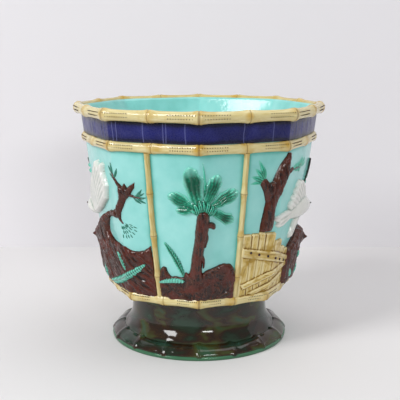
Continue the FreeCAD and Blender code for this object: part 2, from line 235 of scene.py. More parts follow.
def leafHeight(u, v, base, tip, halfWidth, depth, bend=0.0, ribs=0.0, notch=0.0):
    # pointed leaf from base to tip, with a groove down its middle, veins and teeth
    reach, side, length = alongAcross(u, v, base, tip)
    along = reach / length
    inRange = np.clip(along, 0, 1)
    side = side - bend * length * np.sin(np.pi * inRange)
    width = halfWidth * (np.sin(np.pi * inRange ** 0.8) ** (0.4 if notch else 0.75)) + 1e-3
    if notch:
        saw = np.abs(((reach - np.abs(side) * 0.8) / leaf["toothPitch"]) % 1.0 - 0.5) * 2
        width = width * (1 - notch * saw)
    past = np.maximum(np.abs(along - 0.5) - 0.5, 0) * length
    edge = np.hypot(np.maximum(np.abs(side) - width, 0), past)
    share = np.abs(side) / width
    lengthwise = leaf["ends"] + (1 - leaf["ends"]) * np.sin(np.pi * np.clip(inRange, 0.08, 0.92))
    body = depth * np.sqrt(np.clip(1 - share ** 2, 0, 1)) * lengthwise
    body = body - leaf["groove"][0] * depth * np.exp(-(side / leaf["groove"][1]) ** 2)
    veins = 0.5 + 0.5 * np.cos(2 * np.pi * (reach - np.abs(side) * 0.9) / leaf["veinPitch"])
    return np.where((np.abs(side) < width) & (past <= 0), body - ribs * veins * share, -edge * steep)


def addObject(name, data):
    made = bpy.data.objects.new(name, data)
    bpy.context.scene.collection.objects.link(made)
    return made


def meshPiece(name, points, faces, values=None, smooth=True):
    mesh = bpy.data.meshes.new(name)
    mesh.from_pydata([tuple(point) for point in points], [], [tuple(face) for face in faces])
    for key, data in (values or {}).items():
        mesh.attributes.new(key, "FLOAT", "POINT").data.foreach_set("value", np.asarray(data, np.float32))
    mesh.polygons.foreach_set("use_smooth", [smooth] * len(mesh.polygons))
    mesh.update()
    return addObject(name, mesh)


def blurred(grid, passes):
    for _ in range(passes):
        padded = np.pad(grid, 1, mode="edge")
        grid = (padded[:-2, 1:-1] + padded[2:, 1:-1] + padded[1:-1, :-2] + padded[1:-1, 2:] + 2 * grid) / 6
    return grid


def reliefPiece(name, azimuths, heights, step, shape):
    # a closed slab on the wall: its face follows the shape's height, its back lies inside the wall
    sink = slab["sink"]
    middle = math.radians(azimuths[1] - azimuths[0]) * float(sideRadius(sum(heights) / 2))
    columns, rows = int(middle / step) + 2, int((heights[1] - heights[0]) / step) + 2
    azimuth, height = np.meshgrid(np.linspace(*azimuths, columns), np.linspace(*heights, rows))
    values = shape(azimuth, height)
    rise = np.maximum(values.pop("height"), -sink)
    used = rise > -sink * 0.999
    cells = used[:-1, :-1] | used[1:, :-1] | used[:-1, 1:] | used[1:, 1:]
    cells[0, :] = cells[-1, :] = False
    cells[:, 0] = cells[:, -1] = False
    hollow = (blurred(rise, slab["blurPasses"]) - rise) * slab["poolGain"]
    values["poolAndShade"] = np.clip(hollow + 0.5 + values.pop("deep", 0), 0, 1)
    # the edge colour goes where a relief thins at its edge, and where a shape asks for it as a painted
    # highlight
    values["rim"] = np.clip(np.maximum(1 - rise / slab["rimHeight"], values.pop("fadeAndHighlight", 0)), 0, 1)
    values.setdefault("stainAndShade", 0 * azimuth)
    wall = wallRadius(azimuth, height)
    front = placed(azimuth, wall + rise, height).reshape(-1, 3)
    back = placed(azimuth, wall - sink - slab["back"], height).reshape(-1, 3)
    index = np.arange(rows * columns).reshape(rows, columns)
    a, b = index[:-1, :-1], index[:-1, 1:]
    c, d = index[1:, 1:], index[1:, :-1]
    count = rows * columns
    faces = [np.stack([a, b, c, d], -1)[cells], np.stack([a, d, c, b], -1)[cells] + count]
    padded = np.pad(cells, 1)
    for grid, first, second in ((padded[:-2, 1:-1], a, b), (padded[1:-1, 2:], b, c),
                                (padded[2:, 1:-1], c, d), (padded[1:-1, :-2], d, a)):
        open_ = cells & ~grid
        faces.append(np.stack([second, first, first + count, second + count], -1)[open_])
    faces = np.concatenate(faces)
    kept = np.unique(faces)
    number = np.zeros(2 * count, np.int64)
    number[kept] = np.arange(len(kept))
    points = np.vstack([front, back])[kept]
    data = {key: np.tile(np.broadcast_to(grid, azimuth.shape).reshape(-1), 2)[kept]
            for key, grid in values.items()}
    return meshPiece(name, points, number[faces], data)


def halfTurn(piece, name):
    # the same piece on the other side of the bowl
    mesh = piece.data.copy()
    points = np.zeros(len(mesh.vertices) * 3, np.float32)
    mesh.vertices.foreach_get("co", points)
    points = points.reshape(-1, 3) * np.array([-1, -1, 1], np.float32)
    mesh.vertices.foreach_set("co", points.reshape(-1))
    mesh.update()
    mesh.name = name
    return addObject(name, mesh)


def finishPiece(piece, glaze, body, *nodes):
    # the glaze's name also names the slot, and the nodes are what the piece stands for
    piece.data.materials.clear()
    piece.data.materials.append(glazes[glaze])
    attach(piece, body)
    if nodes:
        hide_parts(*nodes)


def addNode(tree, kind, links=None, **settings):
    node = tree.nodes.new(kind)
    for key, value in settings.items():
        setattr(node, key, value)
    for socket, source in (links or {}).items():
        if isinstance(source, bpy.types.NodeSocket):
            tree.links.new(source, node.inputs[socket])
        else:
            node.inputs[socket].default_value = source
    return node


def maths(tree, operation, *values):
    return addNode(tree, "ShaderNodeMath", dict(enumerate(values)), operation=operation).outputs[0]


def ranged(tree, value, low, high, start=0.0, end=1.0, **settings):
    # the value's place between low and high, as a value from start to end
    return addNode(tree, "ShaderNodeMapRange", {"Value": value, "From Min": low, "From Max": high,
                                                "To Min": start, "To Max": end}, **settings).outputs[0]


def noise(tree, place, size, detail, **more):
    # cloudy pattern with patches about as wide as the size in millimetres
    links = {"Vector": place, "Scale": 1 / (size * mm), "Detail": detail, **more}
    return addNode(tree, "ShaderNodeTexNoise", links).outputs["Fac"]


def attribute(tree, name):
    return addNode(tree, "ShaderNodeAttribute", attribute_name=name).outputs["Fac"]


def srgb(text):
    channels = [int(text[i:i + 2], 16) / 255 for i in (1, 3, 5)]
    return tuple(c / 12.92 if c <= 0.04045 else ((c + 0.055) / 1.055) ** 2.4 for c in channels) + (1.0,)


def ramp(tree, share, stops):
    # colours along a share from 0 to 1; the first two stops are the ends
    node = addNode(tree, "ShaderNodeValToRGB", {"Fac": share})
    for index, (place, colour) in enumerate(stops):
        element = node.color_ramp.elements[index] if index < 2 else node.color_ramp.elements.new(place)
        element.position, element.color = place, srgb(colour)
    return node.outputs["Color"]


def mixed(tree, share, first, second):
    colours = {"Factor": share, 6: first, 7: second}  # 6 and 7 are the colour sockets
    return addNode(tree, "ShaderNodeMix", colours, data_type="RGBA").outputs[2]


def newMaterial(name):
    material = bpy.data.materials.new(name)
    material.use_nodes = True
    tree = material.node_tree
    tree.nodes.clear()
    return material, tree, addNode(tree, "ShaderNodeTexCoord").outputs["Object"]


coat = {
    "ior": 1.5,  # about that of window glass
    "roughness": (0.07, 0.2),
    "ripple": (6.0, 0.35, 0.6),  # width, strength and height of the slow waves left by the firing
    "pinholes": (0.9, 0.1, 0.12),  # the same for the finest ones
}


def glossyCoat(tree, colour, place, roughness, ripple):
    # fired lead glaze is a glass skin: sharp window reflections that waver with ripples and fine pinholes
    (wave, _, rise), (pore, strength, dip) = coat["ripple"], coat["pinholes"]
    slow, fine = noise(tree, place, wave, 1.0), noise(tree, place, pore, 2.0)
    soft = addNode(tree, "ShaderNodeBump", {"Height": slow, "Strength": ripple, "Distance": rise * mm})
    bump = addNode(tree, "ShaderNodeBump", {"Height": fine, "Strength": strength, "Distance": dip * mm,
                                            "Normal": soft.outputs[0]})
    shader = addNode(tree, "ShaderNodeBsdfPrincipled", {
        "Base Color": colour, "Roughness": ranged(tree, fine, 0.0, 1.0, *roughness), "IOR": coat["ior"],
        "Normal": bump.outputs[0]})
    addNode(tree, "ShaderNodeOutputMaterial", {"Surface": shader.outputs[0]})


def leadGlaze(name, thin, body, pooled, mottle, run=None, runShare=0.0, edge=None, stainAndShade=None, cloudy=0.7,
              roughness=coat["roughness"]):
    # transparent coloured lead glaze over pale clay: light where it thins on ridges, deep where it pools,
    # with soft patches where a second colour ran into it
    material, tree, place = newMaterial(name)
    cloud = maths(tree, "SUBTRACT", noise(tree, place, mottle, 3.0), 0.5)
    depth = maths(tree, "MULTIPLY_ADD", cloud, cloudy, attribute(tree, "poolAndShade"))
    colour = ramp(tree, depth, ((0.22, thin), (0.86, pooled), (0.5, body)))
    if run:
        blot = noise(tree, place, mottle * 1.7, 2.0, Distortion=0.6)
        colour = mixed(tree, ranged(tree, blot, 0.62 - runShare, 0.8 - runShare), colour, srgb(run))
    if edge:
        colour = mixed(tree, ranged(tree, attribute(tree, "rim"), 0.0, 1.0, 0.0, 0.85), colour, srgb(edge))
    if stainAndShade:
        colour = mixed(tree, attribute(tree, "stainAndShade"), colour, srgb(stainAndShade))
    glossyCoat(tree, colour, place, roughness, coat["ripple"][1])
    return material


def caneGlaze(name, light, body, shade, ochre, line):
    # cream glaze brushed with ochre at the joints, streaked along the cane, with a dark line in each joint,
    # and painted shade on the half towards the wall
    material, tree, place = newMaterial(name)
    lengthwise = addNode(tree, "ShaderNodeCombineXYZ", {"X": attribute(tree, "along"),
                                                        "Y": attribute(tree, "around")})
    streaks = addNode(tree, "ShaderNodeMapping", {"Vector": lengthwise.outputs[0],
                                                  "Scale": (1 / (16 * mm), 17, 1)})
    streak = maths(tree, "SUBTRACT", noise(tree, streaks.outputs[0], 1 / mm, 3.0), 0.5)
    # glaze depth; on canes it also holds painted shade on the side towards the wall
    depth = maths(tree, "MULTIPLY_ADD", streak, 0.8, attribute(tree, "poolAndShade"))
    colour = ramp(tree, depth, ((0.22, light), (0.95, shade), (0.5, body)))
    joint = attribute(tree, "joint")  # metres from the nearest joint
    near = ranged(tree, joint, 1.5 * mm, 17 * mm, 0.2, -0.06)
    brushed = maths(tree, "ADD", noise(tree, place, 13, 2.0), near)
    colour = mixed(tree, ranged(tree, brushed, 0.55, 0.85, 0.0, 0.9), colour, srgb(ochre))
    colour = mixed(tree, ranged(tree, joint, 0.2 * mm, 0.8 * mm, 0.6, 0.0), colour, srgb(line))
    glossyCoat(tree, colour, place, coat["roughness"], coat["ripple"][1])
    return material


def mottledGlaze(name, stops, mottle, strip):
    # dark green, brown and olive glazes dabbed side by side, so that they ran together in the kiln
    material, tree, place = newMaterial(name)
    wide = addNode(tree, "ShaderNodeMapping", {"Vector": place, "Scale": (1, 1, 2)}).outputs[0]
    dabs = noise(tree, wide, mottle, 2.0, Roughness=0.45, Distortion=0.4)
    colour = ramp(tree, ranged(tree, dabs, 0.3, 0.7), stops)
    colour = mixed(tree, attribute(tree, "stainAndShade"), colour, srgb(strip))
    glossyCoat(tree, colour, place, (0.04, 0.1), 0.12)
    return material


glazes = {
    # copper in a milky glaze: even, pale blue-green, deeper beside the canes
    "turquoise": leadGlaze("turquoiseLeadGlaze", "#abe6e1", "#8ed6d0", "#58b0a4", 26, edge="#c9f2ea",
                           stainAndShade="#55b79f", cloudy=0.5),
    # cobalt: ink blue, nearly black where it is thick, with the raised lines showing paler
    "cobalt": leadGlaze("cobaltLeadGlaze", "#30357c", "#1c2064", "#0b0d30", 18, stainAndShade="#7f86bf",
                        roughness=(0.2, 0.36)),
    # clear glaze yellowed by a little iron, with ochre brushed on: warm cream with honey patches
    "cane": caneGlaze("creamCaneGlaze", "#e6daa8", "#d3c388", "#a1863a", "#c19a3c", "#6f4c1e"),
    # the same with more iron on the boards: straw yellow, with brown in the gaps
    "ochre": leadGlaze("ochreBoardGlaze", "#e2d29c", "#ccb061", "#6f4c14", 9, "#a98729", 0.09,
                       stainAndShade="#ece5cc"),
    # manganese: red-brown like wet bark, nearly black in the furrows, with green run into it
    "brown": leadGlaze("manganeseBrownGlaze", "#4b2414", "#311409", "#120503", 8, "#531c0c", 0.17,
                       stainAndShade="#2b7865", roughness=(0.16, 0.34)),
    # copper in a clear glaze: bottle green in hollows, thinning to mint at the edges; the dark brown is the
    # twigs' wood, and on the palm's spear leaf the mint is a painted highlight and the dark brown a painted
    # shade
    "green": leadGlaze("copperGreenGlaze", "#4fc0a2", "#128263", "#04503a", 6, edge="#8cdccd",
                       stainAndShade="#1a1512"),
    # tin: opaque white, with the wall's turquoise creeping in at the edge
    "white": leadGlaze("tinWhiteGlaze", "#e4e5df", "#d8dad2", "#a5b3a8", 14, edge="#bfe2db",
                       stainAndShade="#241a16"),
    # copper, iron and manganese together: dark tortoiseshell with a glassy shine, greener on the strip
    "mottled": mottledGlaze("mottledStandGlaze", ((0.0, "#22382a"), (1.0, "#2a4a33"), (0.33, "#1b2213"),
                                                  (0.48, "#27170c"), (0.62, "#30200d"), (0.8, "#3a3d1a")),
                            30, "#3d7353"),
}
print("glazes made:", len(glazes))


def newTree(name, inputs):
    # a Geometry Nodes group with a geometry input and the named inputs
    tree = bpy.data.node_groups.new(name, "GeometryNodeTree")
    tree.interface.new_socket("Geometry", in_out="INPUT", socket_type="NodeSocketGeometry")
    for label, kind in inputs.items():
        tree.interface.new_socket(label, in_out="INPUT", socket_type="NodeSocket" + kind)
    tree.interface.new_socket("Geometry", in_out="OUTPUT", socket_type="NodeSocketGeometry")
    return tree, tree.nodes.new("NodeGroupInput").outputs


def closeTree(tree, geometry, material):
    whole = addNode(tree, "GeometryNodeRealizeInstances", {"Geometry": geometry}).outputs[0]
    smooth = addNode(tree, "GeometryNodeSetShadeSmooth", {"Geometry": whole}).outputs[0]
    finished = addNode(tree, "GeometryNodeSetMaterial", {"Geometry": smooth, "Material": material})
    addNode(tree, "NodeGroupOutput", {"Geometry": finished.outputs[0]})


def runTree(name, tree, points, edges, values):
    # the tree's result on a path of points, as a plain mesh
    host = addObject("pathHost", bpy.data.meshes.new("pathHost"))
    host.data.from_pydata([tuple(point) for point in points], edges, [])
    modifier = host.modifiers.new("tree", "NODES")
    modifier.node_group = tree
    for item in tree.interface.items_tree:
        if item.in_out == "INPUT" and item.name in values:
            modifier[item.identifier] = values[item.name]  # set before the host is first evaluated
    bpy.context.view_layer.update()
    evaluated = host.evaluated_get(bpy.context.evaluated_depsgraph_get())
    mesh = bpy.data.meshes.new_from_object(evaluated)
    host.modifiers.remove(modifier)
    bpy.data.objects.remove(host)
    mesh.name = name
    return addObject(name, mesh)


# across a joint: share of its reach, and share of the swelling there
jointSwelling = ((0.0, 0.45), (0.03, 0.72), (0.07, 1.0), (0.14, 0.86), (0.34, 0.42), (0.66, 0.1),
                 (1.0, 0.0))


def makeCaneTree():
    # bamboo cane along a path: swollen, grooved joints at a steady pitch, waisted between them
    numbers = ("Half Depth", "Half Height", "First Joint", "Joint Pitch", "Joint Reach", "Waist",
               "Corner Swell", "Tilt", "Step", "Wobble", "Seed")
    tree, given = newTree("caneAlongPath", {**dict.fromkeys(numbers, "Float"), "Material": "Material"})

    def geometry(kind, links=None, output=0, **settings):
        return addNode(tree, "GeometryNode" + kind, links, **settings).outputs[output]

    curve = geometry("MeshToCurve", {"Mesh": given["Geometry"]})
    curve = geometry("ResampleCurve", {"Curve": curve, "Length": given["Step"]}, mode="LENGTH")
    curve = geometry("SetCurveNormal", {"Curve": curve}, mode="Z_UP")
    curve = geometry("SetCurveTilt", {"Curve": curve, "Tilt": given["Tilt"]})
    length = geometry("SplineParameter", output="Length")
    pitch = given["Joint Pitch"]
    count = maths(tree, "DIVIDE", maths(tree, "SUBTRACT", length, given["First Joint"]), pitch)
    away = []
    for period in (1.0, 2.0):  # every joint, and every second one, which is a corner
        folded = maths(tree, "DIVIDE", count, period)
        off = maths(tree, "SUBTRACT", folded, maths(tree, "ROUND", folded))
        scaled = maths(tree, "MULTIPLY", maths(tree, "ABSOLUTE", off), period)
        away.append(maths(tree, "MULTIPLY", scaled, pitch))
    share = ranged(tree, away[0], 0.0, given["Joint Reach"])
    swell = addNode(tree, "ShaderNodeFloatCurve", {"Value": share})
    points = swell.mapping.curves[0].points
    for place, height in jointSwelling[1:-1]:
        points.new(place, height)
    points[0].location, points[-1].location = jointSwelling[0], jointSwelling[-1]
    body = ranged(tree, swell.outputs[0], 0.0, 1.0, given["Waist"])
    atCorner = ranged(tree, away[1], 0.0, given["Joint Reach"], given["Corner Swell"], 0.0,
                      interpolation_type="SMOOTHSTEP")
    radius = maths(tree, "MULTIPLY", body, maths(tree, "ADD", atCorner, 1.0))
    drift = addNode(tree, "ShaderNodeTexNoise", {"Vector": geometry("InputPosition"), "W": given["Seed"],
                                                 "Scale": 28.0, "Detail": 0.0}, noise_dimensions="4D")
    centred = addNode(tree, "ShaderNodeVectorMath", {0: drift.outputs["Color"], 1: (0.5, 0.5, 0.5)},
                      operation="SUBTRACT")
    offset = addNode(tree, "ShaderNodeVectorMath", {0: centred.outputs[0], "Scale": given["Wobble"]},
                     operation="SCALE")
    curve = geometry("SetPosition", {"Geometry": curve, "Offset": offset.outputs[0]})
    for key, value in (("joint", away[0]), ("along", length)):
        curve = geometry("StoreNamedAttribute", {"Geometry": curve, "Name": key, "Value": value},
                         domain="POINT")
    section = geometry("CurvePrimitiveCircle", {"Resolution": 28, "Radius": 1.0})
    facing = addNode(tree, "ShaderNodeSeparateXYZ", {0: geometry("InputPosition")}).outputs[0]
    wallSideShade = ranged(tree, facing, -0.1, 0.5, 0.64, 0.42)  # painted shade: the cane's half towards the wall is coloured darker, where glaze also pools
    for key, value in (("around", geometry("SplineParameter", output="Factor")), ("poolAndShade", wallSideShade)):
        section = geometry("StoreNamedAttribute", {"Geometry": section, "Name": key, "Value": value},
                           domain="POINT")
    halves = addNode(tree, "ShaderNodeCombineXYZ", {"X": given["Half Depth"], "Y": given["Half Height"],
                                                    "Z": 1.0})
    section = geometry("Transform", {"Geometry": section, "Scale": halves.outputs[0]})
    cane = geometry("CurveToMesh", {"Curve": curve, "Profile Curve": section, "Scale": radius,
                                    "Fill Caps": True})
    closeTree(tree, cane, given["Material"])
    return tree


def makeBeadTree():
    # one small round bead at each point, as a nail head, a pricked pit or an eye
    tree, given = newTree("beadsAtPoints", {"Radius": "Float", "Material": "Material"})
    bead = addNode(tree, "GeometryNodeMeshIcoSphere", {"Radius": given["Radius"], "Subdivisions": 2})
    beads = addNode(tree, "GeometryNodeInstanceOnPoints", {"Points": given["Geometry"],
                                                           "Instance": bead.outputs[0]})
    closeTree(tree, beads.outputs[0], given["Material"])
    return tree


caneTree = makeCaneTree()
beadTree = makeBeadTree()


def makeCane(name, points, closed, cane, glaze="cane"):
    # one bamboo cane along the points; a closed one has two joints for each side of the bowl
    count = len(points)
    edges = [(i, (i + 1) % count) for i in range(count if closed else count - 1)]
    around = float(np.linalg.norm(points - np.roll(points, 1, axis=0), axis=1).sum())
    return runTree(name, caneTree, points, edges, {
        "Half Depth": cane["halfDepth"] * mm, "Half Height": cane["halfHeight"] * mm,
        "First Joint": cane.get("firstJoint", 0.0) * mm,
        "Joint Pitch": around / (2 * bowl["facets"]) if closed else cane["pitch"] * mm,
        "Joint Reach": cane["reach"] * mm, "Waist": cane["waist"],
        "Corner Swell": cane.get("cornerSwell", 0.0), "Tilt": math.radians(cane.get("tilt", 0.0)),
        "Step": cane.get("step", 0.8) * mm, "Wobble": cane.get("wobble", 0.5) * mm, "Seed": cane["seed"],
        "Material": glazes[glaze]})


caneRing = {"points": 640, "reach": 20.0, "waist": 0.83, "cornerSwell": 0.02}
caneRings = {
    # middle above the bowl's underside, stand-out from the wall, half depth, half height
    "rim_cane": {"middle": 209.0, "standOut": 3.5, "halfDepth": 6.0, "halfHeight": 7.0, "seed": 3.0},
    "frieze_cane": {"middle": 176.0, "standOut": 0.0, "halfDepth": 4.5, "halfHeight": 6.0, "seed": 11.0},
    "base_cane": {"middle": 7.5, "standOut": 0.0, "halfDepth": 5.0, "halfHeight": 6.25, "seed": 7.0},
}
for node, ring in caneRings.items():
    azimuth = np.arange(caneRing["points"]) * 360.0 / caneRing["points"]
    height = bowl["bottom"] + ring["middle"]
    points = placed(azimuth, wallRadius(azimuth, height) + ring["standOut"], height)
    finishPiece(makeCane(node + "_bamboo", points, True, {**caneRing, **ring}), "cane", "bowl", node)

upright = {
    "azimuths": {"right": 23.2, "left": -25.3},
    "low": 12.0,  # ends and first joint above the bowl's underside
    "high": 171.0,
    "firstJoint": 36.0,
    "points": 60,
    "standOut": 0.3,
    "halfDepth": 3.9,
    "halfHeight": 3.9,
    "pitch": 47.0,
    "reach": 10.0,
    "waist": 0.78,
    "step": 0.7,
    "wobble": 0.8,
    "seed": 5.0,
}
for side, azimuth in upright["azimuths"].items():
    height = bowl["bottom"] + np.linspace(upright["low"], upright["high"], upright["points"])
    points = placed(azimuth + 0 * height, wallRadius(azimuth, height) + upright["standOut"], height)
    piece = makeCane("panel_cane_bamboo_front_" + side, points, False,
                     {**upright, "firstJoint": upright["firstJoint"] - upright["low"]})
    finishPiece(piece, "cane", "bowl", "panel_cane_front_" + side)
    other = halfTurn(piece, "panel_cane_bamboo_back_" + side)
    finishPiece(other, "cane", "bowl", "panel_cane_back_" + side)
print("cane rings and uprights made")


def lathe(name, rows, columns, values=None, loop=False):
    # rows are (radius at each azimuth, height): a closed skin, either a loop or closed on the middle line
    azimuth = np.arange(columns) * 360.0 / columns
    rings = [placed(azimuth, np.broadcast_to(radius, azimuth.shape), np.broadcast_to(height, azimuth.shape))
             for radius, height in rows]
    points = np.concatenate(rings)
    index = np.arange(len(points)).reshape(len(rows), columns)
    low, high = (index, np.roll(index, -1, axis=0)) if loop else (index[:-1], index[1:])
    quads = np.stack([low, np.roll(low, -1, axis=1), np.roll(high, -1, axis=1), high], -1).reshape(-1, 4)
    faces = quads.tolist()
    values = {key: grid.reshape(-1) for key, grid in (values or {}).items()}
    for ring, turn in (() if loop else ((index[0], -1), (index[-1], 1))):
        centre = len(points)
        points = np.vstack([points, points[ring].mean(0)])
        faces += [(ring[i], ring[(i + 1) % columns], centre)[::turn] for i in range(columns)]
        values = {key: np.append(data, 0.5) for key, data in values.items()}
    return meshPiece(name, points, faces, values)


stand = {
    "columns": 240,
    "baseRadius": 102.5,
    "strip": (103.0, 4.0),  # radius and height of the rim that the cane ring lies on
    "coreRadius": 95.5,  # behind the cane ring
    "groove": (87.0, 16.0),
    "flare": ((84.0, 20.0), (81.0, 25.0), (79.5, 30.0), (78.8, 38.0), (78.3, 48.0), (78.0, 58.0)),
    "sag": (0.7, 17.0, 4.0),  # the groove's wave: height, where, and how far it reaches up and down
    "seat": (65.0, 52.0, 50.0),  # recess radius, recess floor height and opening radius
    "under": ((50.0, 44.0), (66.0, 38.0), (71.0, 16.0), (86.5, 0.0)),
    "stripStain": 0.85,
}
standCane = {
    "points": 600,
    "middle": (94.5, 8.7),  # radius and height
    "halfDepth": 10.6,
    "halfHeight": 4.4,
    "tilt": 35.5,  # degrees below level, outwards
    "reach": 9.0,
    "waist": 0.78,
    "seed": 2.0,
}


def makeStand():
    azimuth = np.arange(stand["columns"]) * 360.0 / stand["columns"]
    flare = smoothPath([stand["groove"], *stand["flare"]], 7)
    wave = np.cos(np.radians(azimuth * 2 * bowl["facets"]))  # the shoulder rises at each joint of the ring
    sag, sagHeight, sagReach = stand["sag"]
    recess, floor, opening = stand["seat"]
    topRadius, top = flare[-1]
    rows = [(opening, floor - 4), (opening, floor), (recess, floor), (recess, top - 0.6),
            (recess + 0.6, top), (topRadius - 1.2, top)]
    rows += [(radius, height + sag * wave * math.exp(-((height - sagHeight) / sagReach) ** 2))
             for radius, height in flare[::-1]]
    skirt = len(rows)
    base, (edge, lip) = stand["baseRadius"], stand["strip"]
    rows += [(stand["coreRadius"], lip + 1), (edge - 0.8, lip), (edge, lip - 0.8), (base, 0.4),
             (base - 0.6, 0.0)]
    strip = slice(skirt, len(rows))
    rows += stand["under"][::-1]
    stainAndShade = np.zeros((len(rows), stand["columns"]))
    stainAndShade[strip] = stand["stripStain"]
    return lathe("stand_flare", rows, stand["columns"], {"stainAndShade": stainAndShade}, loop=True)


finishPiece(makeStand(), "mottled", "stand", "stand_foot")
turn = np.arange(standCane["points"]) * 2 * np.pi / standCane["points"]
radius, height = standCane["middle"]
points = np.stack([radius * np.sin(turn), -radius * np.cos(turn), np.full(len(turn), height)], -1) * mm
piece = makeCane("stand_cane_bamboo", points, True, standCane, "mottled")
finishPiece(piece, "mottled", "stand", "stand_cane")
print("stand made")


def bowlProfile():
    # (middle radius of the eight-sided ring, height, how eight-sided it is) from inside floor to underside
    low, top, share = bowl["bottom"], bowlTop - bowl["lipDrop"], bowl["insideShare"]
    floor, corner = low + bowl["floor"], bowl["floorCorner"]
    cornerTop, flareStart = floor + corner, top - bowl["lipFlare"]
    cornerRadius = float(sideRadius(cornerTop)) - bowl["wall"]
    rows = [(radius, floor, min(1.0, radius / 60)) for radius in np.linspace(1, cornerRadius - corner, 16)]
    for turn in np.radians(np.linspace(0, 90, 9)[1:]):
        rows.append((cornerRadius - corner + corner * math.sin(turn),
                     cornerTop - corner * math.cos(turn), share))
    rows += [(float(sideRadius(z)) - bowl["wall"], z, share)
             for z in np.linspace(cornerTop, flareStart, 24)[1:]]
    narrow = float(sideRadius(flareStart)) - bowl["wall"]
    rows += [(narrow + part * (bowl["lipOpening"] - narrow), flareStart + part * (top - flareStart),
              share + part * (1 - share)) for part in np.linspace(0, 1, 10)[1:]]
    outside = [(float(sideRadius(z)), z, 1.0) for z in np.linspace(top, low + 6, 130)]
    inner, outer, deep = bowl["footRing"]
    edge = outside[-1][0]
    under = [(edge - 0.8, low + 3, 1.0), (edge - 4, low + 0.6, 1.0), (edge - 8, low, 0.9), (72, low, 0.3)]
    under += [(radius, low - drop, 0.0) for radius, drop in (
        (outer + 0.5, 0), (outer, 0.8), (outer, deep - 0.8), (outer - 0.8, deep), (inner + 0.8, deep),
        (inner, deep - 0.8), (inner, 0.5), (30, 0), (1, 0))]
    return rows, outside, under


wallGlaze = {
    "creases": (13.75, 170.0),  # heights of the canes' edges above the bowl's underside
    "open": 0.46,
    "creased": 0.5,
    "creaseWidth": 1.5,
    "bleed": 0.42,
    "bleedPlace": (1.0, 190.0),  # azimuth and height of the palm's crown
    "bleedReach": 19.0,
}


def glazeCreases(azimuth, height):
    # how deep the glaze pools on the wall beside the canes, from about 0.5, open wall, to 1
    low, high = [bowl["bottom"] + crease for crease in wallGlaze["creases"]]
    away = np.minimum(np.abs(height - low), np.abs(height - high))
    for turn in (0, 180):
        for centre in upright["azimuths"].values():
            offset = (azimuth - centre - turn + 180) % 360 - 180
            away = np.minimum(away, np.abs(np.radians(offset) * sideRadius(height)) - upright["halfDepth"])
    near = np.exp(-np.maximum(away, 0) / wallGlaze["creaseWidth"])
    return wallGlaze["open"] + wallGlaze["creased"] * near


def crownBleed(azimuth, height):
    # green run from the palm's crown into the wall's glaze
    (centre, middle), reach = wallGlaze["bleedPlace"], wallGlaze["bleedReach"]
    bleed = 0 * azimuth
    for turn in (0, 180):
        offset = np.radians((azimuth - turn - centre + 180) % 360 - 180) * sideRadius(height)
        bleed = bleed + np.exp(-(offset / reach) ** 2 - ((height - middle) / reach) ** 2)
    return wallGlaze["bleed"] * bleed


def makeBowl():
    azimuth = np.arange(bowl["columns"]) * 360.0 / bowl["columns"]
    inside, outside, under = bowlProfile()
    rows = [(octagonRadius(azimuth, middle) * share + middle * (1 - share), height)
            for middle, height, share in inside + outside + under]
    heights = np.array([row[1] for row in rows])[:, None] + 0 * azimuth
    poolAndShade, stainAndShade = np.full(heights.shape, 0.5), np.zeros(heights.shape)
    wall = slice(len(inside), len(inside) + len(outside))
    around = azimuth[None, :] + 0 * heights[wall]
    poolAndShade[wall], stainAndShade[wall] = glazeCreases(around, heights[wall]), crownBleed(around, heights[wall])
    piece = lathe("bowl_turquoise", rows, bowl["columns"], {"poolAndShade": poolAndShade, "stainAndShade": stainAndShade})
    finishPiece(piece, "turquoise", "bowl", "bowl_shell")


makeBowl()
print("bowl made")


frieze = {
    "low": 182.0,  # both above the bowl's underside
    "high": 202.0,
    "overlap": 0.6,  # hidden behind the canes
    "columns": 1500,
    "rows": 16,
    "rise": 0.825,
    "unevenness": 0.18,
    "sink": 0.8,
    "lineAzimuths": (-64, -61.5, -52, -49, -42.5, -40.5, -26.5, -16.5, -15.2, -6, 21, 36, 52, 60, 68, 75,
                     98, 111),
    "lineRadius": 130.0,
    "lineWander": 0.8,
    "lineHeight": 0.35,
    "lineWidth": 0.38,
}


def friezeShape(azimuth, height):
    low, high = bowl["bottom"] + frieze["low"], bowl["bottom"] + frieze["high"]
    u, v = onSheet(azimuth, height, 0)
    rise = frieze["rise"] + frieze["unevenness"] * latticeNoise(u / 9, v / 7, 4)
    lines = 0 * u
    for centre in frieze["lineAzimuths"]:
        for turn in (0, 180):
            offset = np.radians((azimuth - centre - turn + 180) % 360 - 180) * frieze["lineRadius"]
            offset = offset + frieze["lineWander"] * latticeNoise(v / 8, v * 0 + centre, 9)
            lines = np.maximum(lines, np.exp(-(offset / frieze["lineWidth"]) ** 2))
    edge = np.minimum(height - low, high - height)
    rise = rise + frieze["lineHeight"] * lines * np.clip(edge / 2 - 1, 0, 1)
    poolAndShade = 0.5 + 0.5 * np.exp(-np.maximum(edge - 1.5, 0) / 1.6)
    return {"height": rise, "poolAndShade": poolAndShade, "stainAndShade": 0.5 * lines}


def makeFrieze():
    columns, last = frieze["columns"], frieze["rows"] - 1
    heights = np.linspace(frieze["low"] - frieze["overlap"], frieze["high"] + frieze["overlap"], last + 1)
    azimuth, height = np.meshgrid(np.arange(columns) * 360.0 / columns, heights + bowl["bottom"])
    values = friezeShape(azimuth, height)
    wall = wallRadius(azimuth, height)
    front, back = wall + values.pop("height"), wall - frieze["sink"]
    rows = [(row, height[i]) for i, row in enumerate(front)] + [(back[i], height[i]) for i in (last, 0)]
    values = {key: np.vstack([grid, grid[last], grid[0]]) for key, grid in values.items()}
    finishPiece(lathe("frieze_band", rows, columns, values, loop=True), "cobalt", "bowl", "cobalt_frieze")


makeFrieze()
print("frieze made")


def barkNoise(u, v, lean, seed, across=1.6, along=7.0):
    # long ridges that lean, for bark and earth
    return roughNoise((u + lean * v) / across, (v - lean * u) / along, seed, 3)


